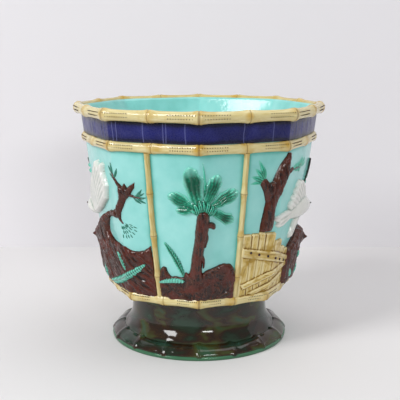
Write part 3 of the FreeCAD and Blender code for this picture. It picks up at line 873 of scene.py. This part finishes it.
def limbs(u, v, aim, paths, rough=0.0, seed=1, lean=0.1):
    # rounded branches: each path has rows of azimuth, height, half width and depth
    whole = nowhere + 0 * u
    for rows in paths:
        table = smoothPath(sheetPath(rows, aim))
        edge, ratio, along = strokeDistance(u, v, table[:, :3].tolist())
        lengths = np.concatenate([[0], np.cumsum(np.hypot(np.diff(table[:, 0]), np.diff(table[:, 1])))])
        whole = np.maximum(whole, ridge(edge, ratio, np.interp(along, lengths, table[:, 3])))
    if rough:
        grain = barkNoise(u, v, lean, seed, 1.7, 8)
        whole = whole + np.where(whole > 0, rough * grain * np.clip(whole / 2, 0, 1), 0)
    return whole


palmTrunk = {
    # azimuth, height and half width
    "trunk": [
        (2.15, 164.5, 6.2), (2.1, 157, 6.8), (1.5, 148, 6.6), (1.0, 138, 6.2), (0.1, 130, 5.6),
        (-0.8, 119, 5.7), (-1.4, 108, 5.7), (-1.7, 100, 6.8), (-1.8, 94, 9)],
    "knob": [(5.2, 154.4, 3.2), (6.8, 153.6, 3.2), (7.6, 151.6, 2.2)],
    "spurs": [
        [(3.4, 146, 2.2), (4.1, 139, 1.6), (3.4, 130, 0.6)],
        [(1.3, 122, 1.8), (2.5, 115, 1.4), (2.6, 107, 0.7)]],
    "depths": (5.5, 4.6, 3.2),
    "bark": 0.6,
    "groove": 0.9,
}


def palmTrunkShape(azimuth, height):
    u, v = onSheet(azimuth, height, 0)
    trunk, knob, spur = palmTrunk["depths"]
    parts = [(trunk, palmTrunk["trunk"]), (knob, palmTrunk["knob"])]
    parts += [(spur, rows) for rows in palmTrunk["spurs"]]
    rise = limbs(u, v, 0, [[(*row, depth) for row in rows] for depth, rows in parts])
    rise = rise + np.where(rise > 0, palmTrunk["bark"] * barkNoise(u, v, 0.1, 12), 0)
    groove = np.exp(-((u - 2.6 - (v - 150) * 0.06) / 0.9) ** 2) * (v < 170)
    return {"height": rise - palmTrunk["groove"] * groove * (rise > 0), "deep": 0.3 * groove}


def frondFans(u, v, aim, fronds, depth):
    # broad fronds that widen from their stem to a round tip, ribbed lengthwise, darker in the middle and
    # faded at the edge: stem azimuth and height, tip azimuth and height, half width, ribs, darkness
    whole, deep, fadeAndHighlight = nowhere + 0 * u, 0 * u, 0 * u
    for stemAzimuth, stemHeight, tipAzimuth, tipHeight, halfWidth, ribs, dark in fronds:
        ends = sheetPath([(stemAzimuth, stemHeight), (tipAzimuth, tipHeight)], aim)
        along, across, length = alongAcross(u, v, *ends)
        share = np.clip(along / length, 0, 1)
        width = halfWidth * np.sin(np.pi * share ** 1.8) ** 0.52 + 0.9 * (1 - share)
        across = across + 1.2 * latticeNoise(u / 7, v / 7, 91)
        away = np.abs(across) / width
        rib = np.cos(np.pi * ribs * across / (halfWidth * (0.3 + 0.75 * share)))
        away = away * (1 + 0.12 * np.clip(share * 2 - 0.7, 0, 1) * (1 - rib) / 2)
        past = np.maximum(np.maximum(along - length, -along), 0)
        body = depth * np.sqrt(np.clip(1 - away ** 2, 0, 1)) * (0.7 + 0.3 * np.sin(np.pi * share))
        body = body + 0.45 * rib
        outside = np.hypot(np.maximum(away - 1, 0) * width, past)
        frond = np.where((away < 1) & (past <= 0), np.maximum(body, 0.1), -outside * steep)
        middle = np.exp(-((share - 0.62) / 0.24) ** 2 - (away / 0.75) ** 2)
        shade = dark * middle + (0.14 + 0.4 * (1 - share)) * rib * (away < 0.95)
        deep = np.where(frond > whole, shade, deep)
        faded = np.clip(np.maximum((away - 0.6) / 0.4, (share - 0.76) / 0.24), 0, 1)
        fadeAndHighlight = np.where(frond > whole, faded, fadeAndHighlight)
        whole = np.maximum(whole, frond)
    return whole, deep, fadeAndHighlight


def leafCluster(u, v, aim, leaves, depth, kind="plain"):
    # leaves are base azimuth, base height, tip azimuth, tip height and half width
    whole = nowhere + 0 * u
    for row in leaves:
        base, tip = sheetPath([row[:2], row[2:4]], aim)
        whole = np.maximum(whole, leafHeight(u, v, base, tip, row[4], depth, leaf["bend"], *leaf[kind]))
    return whole


palmCrown = {
    "fronds": [
        (0.4, 170, -4.6, 216, 10.6, 3, 0.6), (2.6, 171, 9.4, 208, 8.2, 4, 0.3),
        (3.6, 171, 19.6, 190, 8.0, 4, 0.25), (4.6, 171.5, 18.2, 156, 6.4, 4, 0.4),
        (0.4, 171, -15.4, 186.5, 7.4, 4, 0.25), (0.0, 170.5, -11.8, 170.0, 5.4, 3, 0.2)],
    "frondDepth": 3.0,
    "spikes": [(1.9, 176, 1.5, 223, 1.1), (2.9, 178, 2.5, 207, 1.5)],
    "spikeDepth": 2.8,
    "butts": [
        (0.0, 164, -2.8, 180, 2.2), (1.1, 165, -0.6, 185, 2.1), (2.2, 166, 1.8, 184, 1.6),
        (3.2, 165, 4.6, 184, 2.1), (4.4, 164, 7.2, 179, 2.1), (5.2, 164, 9.2, 173.6, 1.7),
        (-0.8, 165.5, -4.8, 173, 1.7)],
    "buttDepth": 6.0,
    "grain": 0.2,
}


def palmFrondsShape(azimuth, height):
    u, v = onSheet(azimuth, height, 0)
    rise, deep, fadeAndHighlight = frondFans(u, v, 0, palmCrown["fronds"], palmCrown["frondDepth"])
    single = np.maximum(leafCluster(u, v, 0, palmCrown["spikes"], palmCrown["spikeDepth"]),
                        leafCluster(u, v, 0, palmCrown["butts"], palmCrown["buttDepth"]))
    rise = np.maximum(rise, single)
    plain = single > rise - 0.01
    return {"height": rise + np.where(rise > 0, palmCrown["grain"] * roughNoise(u / 2, v / 2, 6, 2), 0),
            "deep": np.where(plain, 0.1, deep), "fadeAndHighlight": np.where(plain, 0, 0.9 * fadeAndHighlight)}


palmMound = {
    "outline": [
        (-24.4, 68), (-24.2, 96), (-22.8, 103), (-21.2, 105), (-19.4, 104), (-18.2, 98), (-16, 95),
        (-9, 95), (-7.4, 101), (-5.6, 100), (-3.9, 99), (1, 100), (3.3, 103), (6, 104), (8.9, 107),
        (14.2, 110.5), (18.6, 109), (21.2, 103), (21.8, 96), (21.9, 68)],
    "depth": 3.6,
    "rounding": 3.5,
    "raggedness": 0.8,
    "lumps": 0.85,
    "tooling": 0.8,
}


def palmMoundShape(azimuth, height):
    # earth with lumps and short tooled strokes
    u, v = onSheet(azimuth, height, 0)
    edge = outlineEdge(u, v, palmMound["outline"], 0)
    edge = edge + palmMound["raggedness"] * roughNoise(u / 5, v / 5, 21, 2)
    bend, lift = 4 * latticeNoise(u / 9, v / 9, 33), 4 * latticeNoise(u / 9, v / 9, 35)
    lumps = palmMound["lumps"] * roughNoise((u + bend) / 6, (v + lift) / 5, 31, 3)
    tooled = palmMound["tooling"] * np.abs(latticeNoise((u + bend) / 2.6, (v + lift) / 6, 8))
    rise = plateau(edge, palmMound["depth"], palmMound["rounding"])
    return {"height": rise + np.where(rise > 0, lumps - tooled * np.clip(-edge / 3, 0, 1) + 0.2, 0)}


palmLeaves = {
    "aim": -15,
    "upright": (-8.6, 95.5, -19.4, 133.6, 4.0),
    "uprightDepth": 3.6,
    "lying": (-8.0, 91, -24.0, 87, 3.3),
    "lyingDepth": 2.6,
    "lyingRise": 3.8,  # it lies on the mound
}


def palmLeavesShape(azimuth, height):
    aim, spear = palmLeaves["aim"], palmLeaves["upright"]
    u, v = onSheet(azimuth, height, aim)
    side = alongAcross(u, v, *sheetPath([spear[:2], spear[2:4]], aim))[1]
    standing = leafCluster(u, v, aim, [spear], palmLeaves["uprightDepth"], "fern")
    lying = leafCluster(u, v, aim, [palmLeaves["lying"]], palmLeaves["lyingDepth"], "fern")
    lying = np.where(lying > 0, lying + palmLeaves["lyingRise"], lying)
    flat = lying > standing
    # the spear leaf is paler on its left side, a painted highlight, and darker on its right side, a painted
    # shade; the lying leaf is paler all over, with dark stripes
    return {"height": np.maximum(standing, lying), "deep": np.where(flat, -0.2, 0.15),
            "fadeAndHighlight": np.where(flat, 0.6, 0.9 * (side < -0.7)),
            "stainAndShade": np.where(flat, 0.5 * (np.cos(u * 2.1) > 0.5), 0.3 * (side > 0.6))}


frontReliefs = {
    # name: azimuths, heights, step, shape, glaze
    "palm_trunk": ((-10, 12), (88, 180), 0.7, palmTrunkShape, "brown"),
    "palm_fronds": ((-17, 21), (150, 228), 0.6, palmFrondsShape, "green"),
    "palm_mound": ((-25.2, 23), (66, 113), 0.7, palmMoundShape, "brown"),
    "palm_leaves": ((-26, -6), (80, 134), 0.55, palmLeavesShape, "green"),
}


def makeReliefs(table, first, second):
    for name, (azimuths, heights, step, shape, glaze) in table.items():
        piece = reliefPiece(name + "_relief_" + first, azimuths, heights, step, shape)
        finishPiece(piece, glaze, "bowl", name + "_" + first)
        finishPiece(halfTurn(piece, name + "_relief_" + second), glaze, "bowl", name + "_" + second)
        print(name, "made", len(piece.data.polygons), "faces")


makeReliefs(frontReliefs, "front", "back")
sideAim = 90

gate = {
    # boards: left and right edge, top
    "boards": [
        (24, 29.7, 141), (29.7, 34.2, 141), (34.2, 38.3, 142), (38.3, 44.7, 140.5), (44.7, 53.5, 129.5),
        (53.5, 60, 119), (60, 66.6, 114)],
    "foot": 67,
    "depth": 2.7,
    "bars": [
        [(24, 126), (45, 118), (66.8, 104), (66.8, 93.5), (45, 106), (24, 115.5)],
        [(25, 83), (42, 94.5), (56, 97.5), (66.8, 98), (66.8, 92), (56, 91), (44, 88), (27, 77)],
        [(30, 72.5), (46, 83), (60, 88), (61, 83), (47, 77.5), (34, 69)],
        [(24, 69), (45, 72), (66, 72), (66, 67), (24, 66)]],
    "barDepth": 4.5,
    "grain": (0.16, 0.22),  # on boards and bars
}


def gateShape(azimuth, height):
    u, v = onSheet(azimuth, height, sideAim)
    rise, foot = nowhere + 0 * u, gate["foot"]
    for left, right, top in gate["boards"]:
        board = [(left, foot), (left, top - 1), (left + 0.8, top), (right - 0.6, top - 0.5),
                 (right, top - 2), (right, foot)]
        rise = np.maximum(rise, plateau(outlineEdge(u, v, board, sideAim) + 0.15, gate["depth"], 1.0))
    rise = rise + np.where(rise > 0, gate["grain"][0] * roughNoise(u / 1.1, v / 14, 41, 2), 0)
    grain = gate["grain"][1] * roughNoise((v + 0.25 * u) / 1.3, (u - 0.25 * v) / 14, 47, 2)
    for bar in gate["bars"]:
        edge = outlineEdge(u, v, bar, sideAim)
        rise = np.maximum(rise, plateau(edge, gate["barDepth"], 1.3) + np.where(edge < 0, grain, 0))
    return {"height": rise}


forkedTrunk = {
    # azimuth, height, half width, depth
    "trunk": [
        (37.9, 139, 7.0, 5), (38.2, 150, 7.2, 6), (38.7, 163, 6.8, 6), (39.3, 174, 6.8, 6),
        (41, 186, 8, 6), (43.2, 200, 8.4, 6), (45.2, 212, 7.4, 5.5), (47.2, 224, 3.4, 3.5)],
    "stub": [(39, 176, 6, 5), (36.5, 188, 4.8, 4.6), (33.9, 196.5, 4.2, 3.8)],
    "twig": [(46, 199, 3.4, 3.4), (49.6, 203.5, 2.4, 3), (54, 207, 1.7, 2.2)],
    "crotch": [(38.4, 186, 5.5, 5.4), (38.6, 192, 4.4, 5)],
    "bark": 0.8,
    "lean": 0.3,
    "foot": 142.3,  # it ends on the gate's boards
}


def forkedTrunkShape(azimuth, height):
    u, v = onSheet(azimuth, height, sideAim)
    paths = [forkedTrunk[part] for part in ("trunk", "stub", "twig", "crotch")]
    rise = limbs(u, v, sideAim, paths, forkedTrunk["bark"], 52, forkedTrunk["lean"])
    foot = forkedTrunk["foot"]
    return {"height": np.minimum(rise, np.where(height < foot, (height - foot) * steep, 99))}


trunkTwigs = {
    "leaves": [
        (34.4, 196, 26.6, 203.5, 2.6), (34.2, 196, 30, 221, 2.3), (34.2, 197, 28.4, 212, 2.4),
        (34, 197, 33.2, 214, 1.6), (33.6, 196, 26.2, 195.5, 1.8), (54, 205, 60, 212, 1.4),
        (60, 206.5, 70, 217, 1.3), (63, 207, 75, 214.5, 1.3), (65, 206, 77, 210, 1.2),
        (57, 206, 64, 213, 1.5), (57, 205.5, 63, 203, 1.3), (60, 206, 68, 212, 1.5),
        (61, 206, 69, 206, 1.4), (63, 206, 66, 200, 1.3), (86.5, 203, 93, 199, 1.9),
        (85.5, 198, 92.5, 192, 2.0), (84.5, 193, 91, 185, 2.0), (82.5, 188, 88, 179, 1.8)],
    "leafDepth": 2.4,
    "stems": [
        [(53, 205, 1.2, 2), (58, 206, 0.9, 1.7), (64, 206, 0.7, 1.5)],
        [(88.5, 208, 1.3, 2.6), (87, 201, 1.6, 3), (84.5, 192, 1.6, 2.8), (80.5, 183, 1.1, 2)]],
}


def trunkTwigsShape(azimuth, height):
    u, v = onSheet(azimuth, height, sideAim)
    leaves = leafCluster(u, v, sideAim, trunkTwigs["leaves"], trunkTwigs["leafDepth"])
    wood = limbs(u, v, sideAim, trunkTwigs["stems"])
    return {"height": np.maximum(leaves, wood), "stainAndShade": np.where(wood > leaves, 1.0, 0.0) * (wood > 0)}


def feathers(u, v, root, tip, pitch, depth):
    # long soft grooves that spread from a wing's root
    along, across, length = alongAcross(u, v, root, tip)
    spread = across / (0.45 + 0.65 * np.clip(along / length, 0, 1.2))
    groove = np.cos(2 * np.pi * (spread + 0.5 * latticeNoise(u / 9, v / 9, 77)) / pitch)
    return depth * groove * np.clip(2.2 * along / length - 0.5, 0, 1)


bird = {
    # azimuth, height, half width, depth
    "body": [(58, 155, 7, 4), (66, 156, 9.5, 8), (76, 156, 12, 11), (86, 154, 11.5, 11), (92, 152, 8, 10)],
    "head": [(88, 153, 7.5, 10.5), (91.5, 152, 7.2, 10.5), (94, 151, 5.5, 9)],
    "beak": [(94, 150.5, 2.6, 7), (98.5, 149, 1.2, 4)],
    "wings": (  # outline, root, tip, depth
        ([(86, 158), (84, 170), (79, 181), (72, 189.5), (66.5, 190.5), (63.8, 187), (63.6, 183.5),
          (61.4, 181), (61, 176.5), (58.4, 174.5), (58, 170), (55.6, 168.5), (55.2, 164.5), (57.5, 159)],
         (84, 160), (66, 190), 5.2),
        ([(64, 159), (55, 160.5), (47, 159), (43, 157), (42.6, 153), (44.4, 150.5), (43.6, 147),
          (46, 144), (49.5, 143.6), (57, 147), (65, 151)],
         (64, 155), (43, 150), 4.2),
        ([(76, 152), (70, 145), (66.3, 137), (64.6, 128), (66.5, 123.5), (69, 126), (73.5, 134.5),
          (84, 147)],
         (80, 150), (66, 125), 4.6),
        ([(86, 156), (92, 168), (98, 181), (105, 193), (111, 205), (114.6, 213), (117.2, 214.5),
          (118.4, 206), (120.4, 209.5), (123, 213), (125, 211.5), (124.2, 203), (125.6, 197), (127, 188),
          (125.4, 180), (124.2, 173), (118.5, 166), (113, 159), (106, 153), (98, 147)],
         (92, 152), (121, 210), 6.0),
    ),
    "rounding": 3.2,
    "feathers": (5.4, 0.3),  # pitch and depth
}


def birdShape(azimuth, height):
    u, v = onSheet(azimuth, height, sideAim)
    rise = limbs(u, v, sideAim, [bird["body"], bird["head"], bird["beak"]])
    for outline, root, tip, depth in bird["wings"]:
        edge = outlineEdge(u, v, outline, sideAim)
        grooves = feathers(u, v, *sheetPath([root, tip], sideAim), *bird["feathers"])
        rise = np.maximum(rise, plateau(edge, depth, bird["rounding"]) + np.where(edge < -0.8, grooves, 0))
    return {"height": rise}


stump = {
    "azimuths": (70, 84, 95, 104, 113, 127),
    "depths": (7.6, 9.4, 5.4, 6.4, 6.4, 3.8),  # at those azimuths, in front of the wall
    "outline": [
        (67.5, 67.6), (64.6, 76), (63.6, 87), (64.8, 100), (65.6, 111), (69.5, 116), (74.8, 121),
        (78.5, 125), (82.6, 128), (86, 130), (90, 128), (95, 129.5), (98.3, 132), (101, 138),
        (104.5, 142.5), (108, 147), (112, 150.5), (114.4, 153.5), (117, 152.5), (119.5, 157.5), (122, 157),
        (125, 160.5), (128.5, 160.5), (130.8, 163.5), (132.4, 163), (133.2, 157), (131.5, 154),
        (127, 154.5), (123, 152.5), (120.4, 149.5), (118.2, 143), (116.4, 134.3), (118.8, 128.7),
        (123.6, 125.6), (130, 124), (135.9, 122.6), (138.8, 120), (141.7, 119), (144.9, 119.4),
        (148.1, 122), (150.8, 125.1), (152.4, 128), (152.8, 112), (153.2, 90), (153.4, 67.6)],
    "rounding": 5.0,
    "raggedness": 0.5,
    "furrows": 0.75,
    "furrowPitch": 2.6,
    "bark": 0.9,
    # azimuth, height, lift, reach
    "knots": [(86, 117, 5.0, 4.0), (79, 106, 1.8, 5), (103, 112, 1.8, 4.5), (108, 122, 1.6, 3.5)],
}


def stumpTop(azimuth):
    # how far the stump stands in front of the wall
    return np.interp(azimuth, stump["azimuths"], stump["depths"])


def stumpShape(azimuth, height):
    u, v = onSheet(azimuth, height, sideAim)
    edge = outlineEdge(u, v, stump["outline"], sideAim)
    edge = edge + stump["raggedness"] * roughNoise(u / 4, v / 4, 61, 2)
    rise = np.where(edge < 0, plateau(edge, 1.0, stump["rounding"]) * stumpTop(azimuth), -edge * steep)
    bend = np.clip((azimuth - 104) / 40, 0, 1) * 0.35
    slant = u * (1 - bend) + v * (0.3 + bend) + 3 * latticeNoise(u / 12, v / 12, 63)
    wave = np.sin(slant / stump["furrowPitch"] + 1.4 * latticeNoise(u / 7, v / 7, 65))
    bark = stump["furrows"] * np.abs(wave) ** 0.7
    bark = bark + stump["bark"] * roughNoise(slant / 2.4, (v - 0.3 * u) / 10, 67, 3) - 0.4
    rise = rise + np.where(edge < 0, bark * np.clip(-edge / 1.5, 0, 1), 0)
    for knotAzimuth, knotHeight, lift, reach in stump["knots"]:
        u0, v0 = sheetPath([(knotAzimuth, knotHeight)], sideAim)[0]
        away = np.hypot(u - u0, v - v0) / reach
        knot = lift * np.exp(-away ** 2) + 0.6 * np.cos(away * 5) * np.exp(-away ** 2 / 2)
        rise = rise + np.where(edge < 0, knot, 0)
    return {"height": rise}


stumpBranches = {
    "limb": [
        (133.4, 157), (133.2, 163), (133.9, 167.5), (135.6, 173), (136.6, 178), (136.8, 185),
        (137.2, 194.5), (139.2, 190.4), (140.4, 194.6), (141.9, 189.6), (143.4, 192.6), (146.4, 196.5),
        (145.8, 190.3), (144.2, 186), (142.6, 181), (140.4, 176.8), (138.3, 168.7), (136.4, 161.8),
        (135.9, 155.5), (134.4, 155)],
    "depth": 4.4,
    "rounding": 4.0,
    "bark": 0.7,
    "twigs": [
        [(137.6, 190, 1.5, 2.4), (135.4, 198, 1.1, 2), (133.2, 206, 0.8, 1.5)],
        [(143, 182, 1.6, 2.2), (146.4, 180.4, 1.0, 1.7), (150, 179.6, 0.7, 1.3)],
        [(134.8, 158, 1.5, 2.6), (135.6, 153, 1.0, 2), (136.6, 149.6, 0.7, 1.5)]],
    "leaves": [
        (134.4, 201, 129.6, 212, 1.2), (134, 203, 132.4, 217, 1.2), (135.4, 197, 130.2, 203.6, 1.1),
        (134.8, 199, 137.2, 211, 1.2), (146, 181, 150.2, 190, 1.2), (145, 181, 151.8, 186, 1.1),
        (146, 180, 152.6, 181, 1.1), (144.6, 180, 149.6, 173.4, 1.2), (146.6, 179.6, 152.4, 174.4, 1.1)],
    "leafDepth": 2.0,
    "tuft": (135.8, 151),  # azimuth and height that its needles spread from
    "tiers": 3,
    "needles": 7,  # in a tier
    "needle": (5.0, 0.5, 1.5),  # length, half width, depth
}


def needleTuft(u, v):
    # short needles, one tier behind another
    whole = nowhere + 0 * u
    startU, startV = sheetPath([stumpBranches["tuft"]], sideAim)[0]
    length, halfWidth, depth = stumpBranches["needle"]
    for row in range(stumpBranches["tiers"]):
        for index in range(stumpBranches["needles"]):
            angle = math.radians(-102 + index * 14 + 7 * (row % 2) + 3 * math.sin(5 * index + row))
            reach = 4.4 + 4.8 * row + 0.8 * math.sin(3 * index)
            begin = (startU + reach * math.cos(angle), startV + reach * math.sin(angle))
            end = (begin[0] + length * math.cos(angle), begin[1] + length * math.sin(angle))
            whole = np.maximum(whole, leafHeight(u, v, begin, end, halfWidth, depth))
    return whole


def stumpBranchesShape(azimuth, height):
    u, v = onSheet(azimuth, height, sideAim)
    edge = outlineEdge(u, v, stumpBranches["limb"], sideAim)
    timber = plateau(edge, stumpBranches["depth"], stumpBranches["rounding"])
    timber = timber + np.where(edge < 0, stumpBranches["bark"] * barkNoise(u, v, 0.3, 72), 0)
    timber = np.maximum(timber, limbs(u, v, sideAim, stumpBranches["twigs"], 0.4, 73, 0.2))
    spray = leafCluster(u, v, sideAim, stumpBranches["leaves"], stumpBranches["leafDepth"])
    spray = np.maximum(spray, needleTuft(u, v))
    return {"height": np.maximum(timber, spray), "stainAndShade": np.where(spray > timber, 1.0, 0.0)}


stumpFerns = {
    "leaves": [
        (108, 70.5, 148.4, 106, 4.9), (100.5, 70, 95, 87, 5.0), (135, 95.5, 127, 117, 3.6),
        (84, 74, 87.5, 87, 3.4), (86, 92, 83, 102, 3.0), (75, 74, 71, 86, 2.6)],
    "depth": 2.4,
    "stripePitch": 3.6,
}


def stumpFernsShape(azimuth, height):
    u, v = onSheet(azimuth, height, sideAim)
    ferns = leafCluster(u, v, sideAim, stumpFerns["leaves"], stumpFerns["depth"], "fern")
    stripes = np.cos(2 * np.pi * (u + 0.5 * v) / stumpFerns["stripePitch"])
    return {"height": np.where(ferns > 0, ferns + stumpTop(azimuth), ferns),
            "fadeAndHighlight": np.where(stripes < 0, 0.7, 0), "stainAndShade": 0.6 * (stripes > 0.3)}


sideReliefs = {
    "stump": ((62, 156), (66, 168), 0.75, stumpShape, "brown"),
    "gate": ((23, 68), (66, 143), 0.75, gateShape, "ochre"),
    "forked_trunk": ((30, 56), (130, 227), 0.7, forkedTrunkShape, "brown"),
    "bird": ((41, 129), (121, 217), 0.75, birdShape, "white"),
    "trunk_twigs": ((24, 96), (176, 224), 0.55, trunkTwigsShape, "green"),
    "stump_branches": ((124, 155), (124, 216), 0.55, stumpBranchesShape, "brown"),
    "stump_ferns": ((69, 149), (72, 115), 0.55, stumpFernsShape, "green"),
}
makeReliefs(sideReliefs, "right", "left")

dots = {
    "nails": ((29.4, 120), (34.6, 116.8), (40.4, 113.8), (45.6, 110), (51.5, 106.2), (58.5, 102),
              (64, 98.6)),
    "nailRise": 4.7,
    "nailRadius": 1.5,
    "eye": (89.5, 156.0, 10.6),  # azimuth, height, rise above the wall
    "eyeRadius": 1.0,
    "pitRadius": 0.55,
    "pitCorners": (0, 45, 90, 135),
    "pitStart": 1.4,  # degrees from the corner
    "pitPitch": 1.15,
    "pitCount": 11,
    "pitRows": ((267.6, 9.0, 1.9), (234.6, 3.9, 1.6), (66.1, 4.3, 1.6)),  # middle, rise, half the gap
    "poolAndShade": 0.9,
}


def scatterBeads(name, places, radius):
    # places are azimuth, height and rise above the wall; the same beads again half a turn round
    azimuth, height, rise = np.array(places, float).T
    points = placed(azimuth, wallRadius(azimuth, height) + rise, height)
    points = np.vstack([points, points * (-1, -1, 1)])
    piece = runTree(name, beadTree, points, [], {"Radius": radius * mm, "Material": glazes["brown"]})
    poolAndShade = np.full(len(piece.data.vertices), dots["poolAndShade"], np.float32)
    piece.data.attributes.new("poolAndShade", "FLOAT", "POINT").data.foreach_set("value", poolAndShade)
    finishPiece(piece, "brown", "bowl")


scatterBeads("gate_nails", [(*nail, dots["nailRise"]) for nail in dots["nails"]], dots["nailRadius"])
scatterBeads("bird_eyes", [dots["eye"]], dots["eyeRadius"])
pits = []
for corner in dots["pitCorners"]:
    for side in (-1, 1):
        for index in range(dots["pitCount"]):
            azimuth = corner + side * (dots["pitStart"] + dots["pitPitch"] * index)
            for middle, rise, gap in dots["pitRows"]:
                pits += [(azimuth, middle - gap, rise), (azimuth, middle + gap, rise)]
scatterBeads("cane_pits", pits, dots["pitRadius"])
print("nails, eyes and pits made")


view = {
    # metres from the middle of the floor; the picture is 400 by 400
    "camera": (1.15 * mm, -960 * mm, 341 * mm),
    "pitch": 10.75,  # degrees downwards
    "lens": 75.15,
    "wall": "#e6e4e7",
    "floor": "#e2e0e0",
    "air": ("#f2f2f4", 0.34),  # colour and strength of the light from all round
    "floorDepth": (-0.45, 0.41),
    "halfWidth": 2.4,
    "wallTop": 2.2,
    "wings": ((1.25, -0.05), (1.42, 0.41)),
    "wingTop": 1.3,
}
lamps = {
    # place, target, size, watts: a window at the left, a small front lamp, and soft light from above
    "windowLeft": ((-1.75, -1.4, 1.7), (0, 0, 0.15), (0.9, 1.1), 44),
    "lampFront": ((0.4, -1.65, 0.75), (0, 0, 0.1), (0.5, 0.25), 8),
    "softTop": ((0.5, 0.15, 1.7), (0.1, 0.05, 0.1), (1.6, 1.3), 11),
}


def plainSurface(name, colour, oneSided=False):
    # matt painted board: it gives the object a soft ground and no highlights of its own
    material = bpy.data.materials.new(name)
    material.use_nodes = True
    tree = material.node_tree
    shader = tree.nodes["Principled BSDF"]
    if oneSided:  # clear from behind, so that the object can be looked at from there
        face = addNode(tree, "ShaderNodeNewGeometry").outputs["Backfacing"]
        clear = addNode(tree, "ShaderNodeBsdfTransparent").outputs[0]
        mix = addNode(tree, "ShaderNodeMixShader", {0: face, 1: shader.outputs[0], 2: clear})
        tree.links.new(mix.outputs[0], tree.nodes["Material Output"].inputs["Surface"])
    for key, value in (("Base Color", srgb(colour)), ("Roughness", 0.9), ("Specular IOR Level", 0.1)):
        shader.inputs[key].default_value = value
    return material


def makeRoom():
    # a pale table with a paler wall behind it, and two wings that the object's flanks mirror
    wide, top, (front, back) = view["halfWidth"], view["wallTop"], view["floorDepth"]
    corners = [(-wide, front, 0), (wide, front, 0), (wide, back, 0), (-wide, back, 0)]
    table = meshPiece("pale_table", corners, [(0, 1, 2, 3)], smooth=False)
    table.data.materials.append(plainSurface("paleTable", view["floor"]))
    points = [(-wide, back, 0), (wide, back, 0), (wide, back, top), (-wide, back, top)]
    for side in (-1, 1):
        for x, y in view["wings"]:
            points += [(side * x, y, 0), (side * x, y, view["wingTop"])]
    walls = meshPiece("pale_wall", points, [(0, 1, 2, 3), (4, 6, 7, 5), (8, 9, 11, 10)], smooth=False)
    walls.data.materials.append(plainSurface("paleWall", view["wall"], True))


def addArea(name, place, target, size, watts):
    light = bpy.data.lights.new(name, "AREA")
    light.shape, light.size, light.size_y = "RECTANGLE", size[0], size[1]
    light.energy, light.color = watts, (1.0, 1.0, 1.0)
    lamp = addObject(name, light)
    lamp.location = place
    lamp.rotation_euler = (Vector(target) - Vector(place)).to_track_quat("-Z", "Y").to_euler()


makeRoom()
for name, lamp in lamps.items():
    addArea(name, *lamp)

world = bpy.data.worlds.new("paleRoom")
bpy.context.scene.world = world
world.use_nodes = True
background = world.node_tree.nodes["Background"]
background.inputs["Color"].default_value = srgb(view["air"][0])
background.inputs["Strength"].default_value = view["air"][1]

camera = addObject("camera", bpy.data.cameras.new("camera"))
camera.location = view["camera"]
camera.rotation_euler = (math.radians(90 - view["pitch"]), 0, 0)
camera.data.lens = view["lens"]
bpy.context.scene.camera = camera
bpy.context.scene.view_settings.view_transform = "Standard"
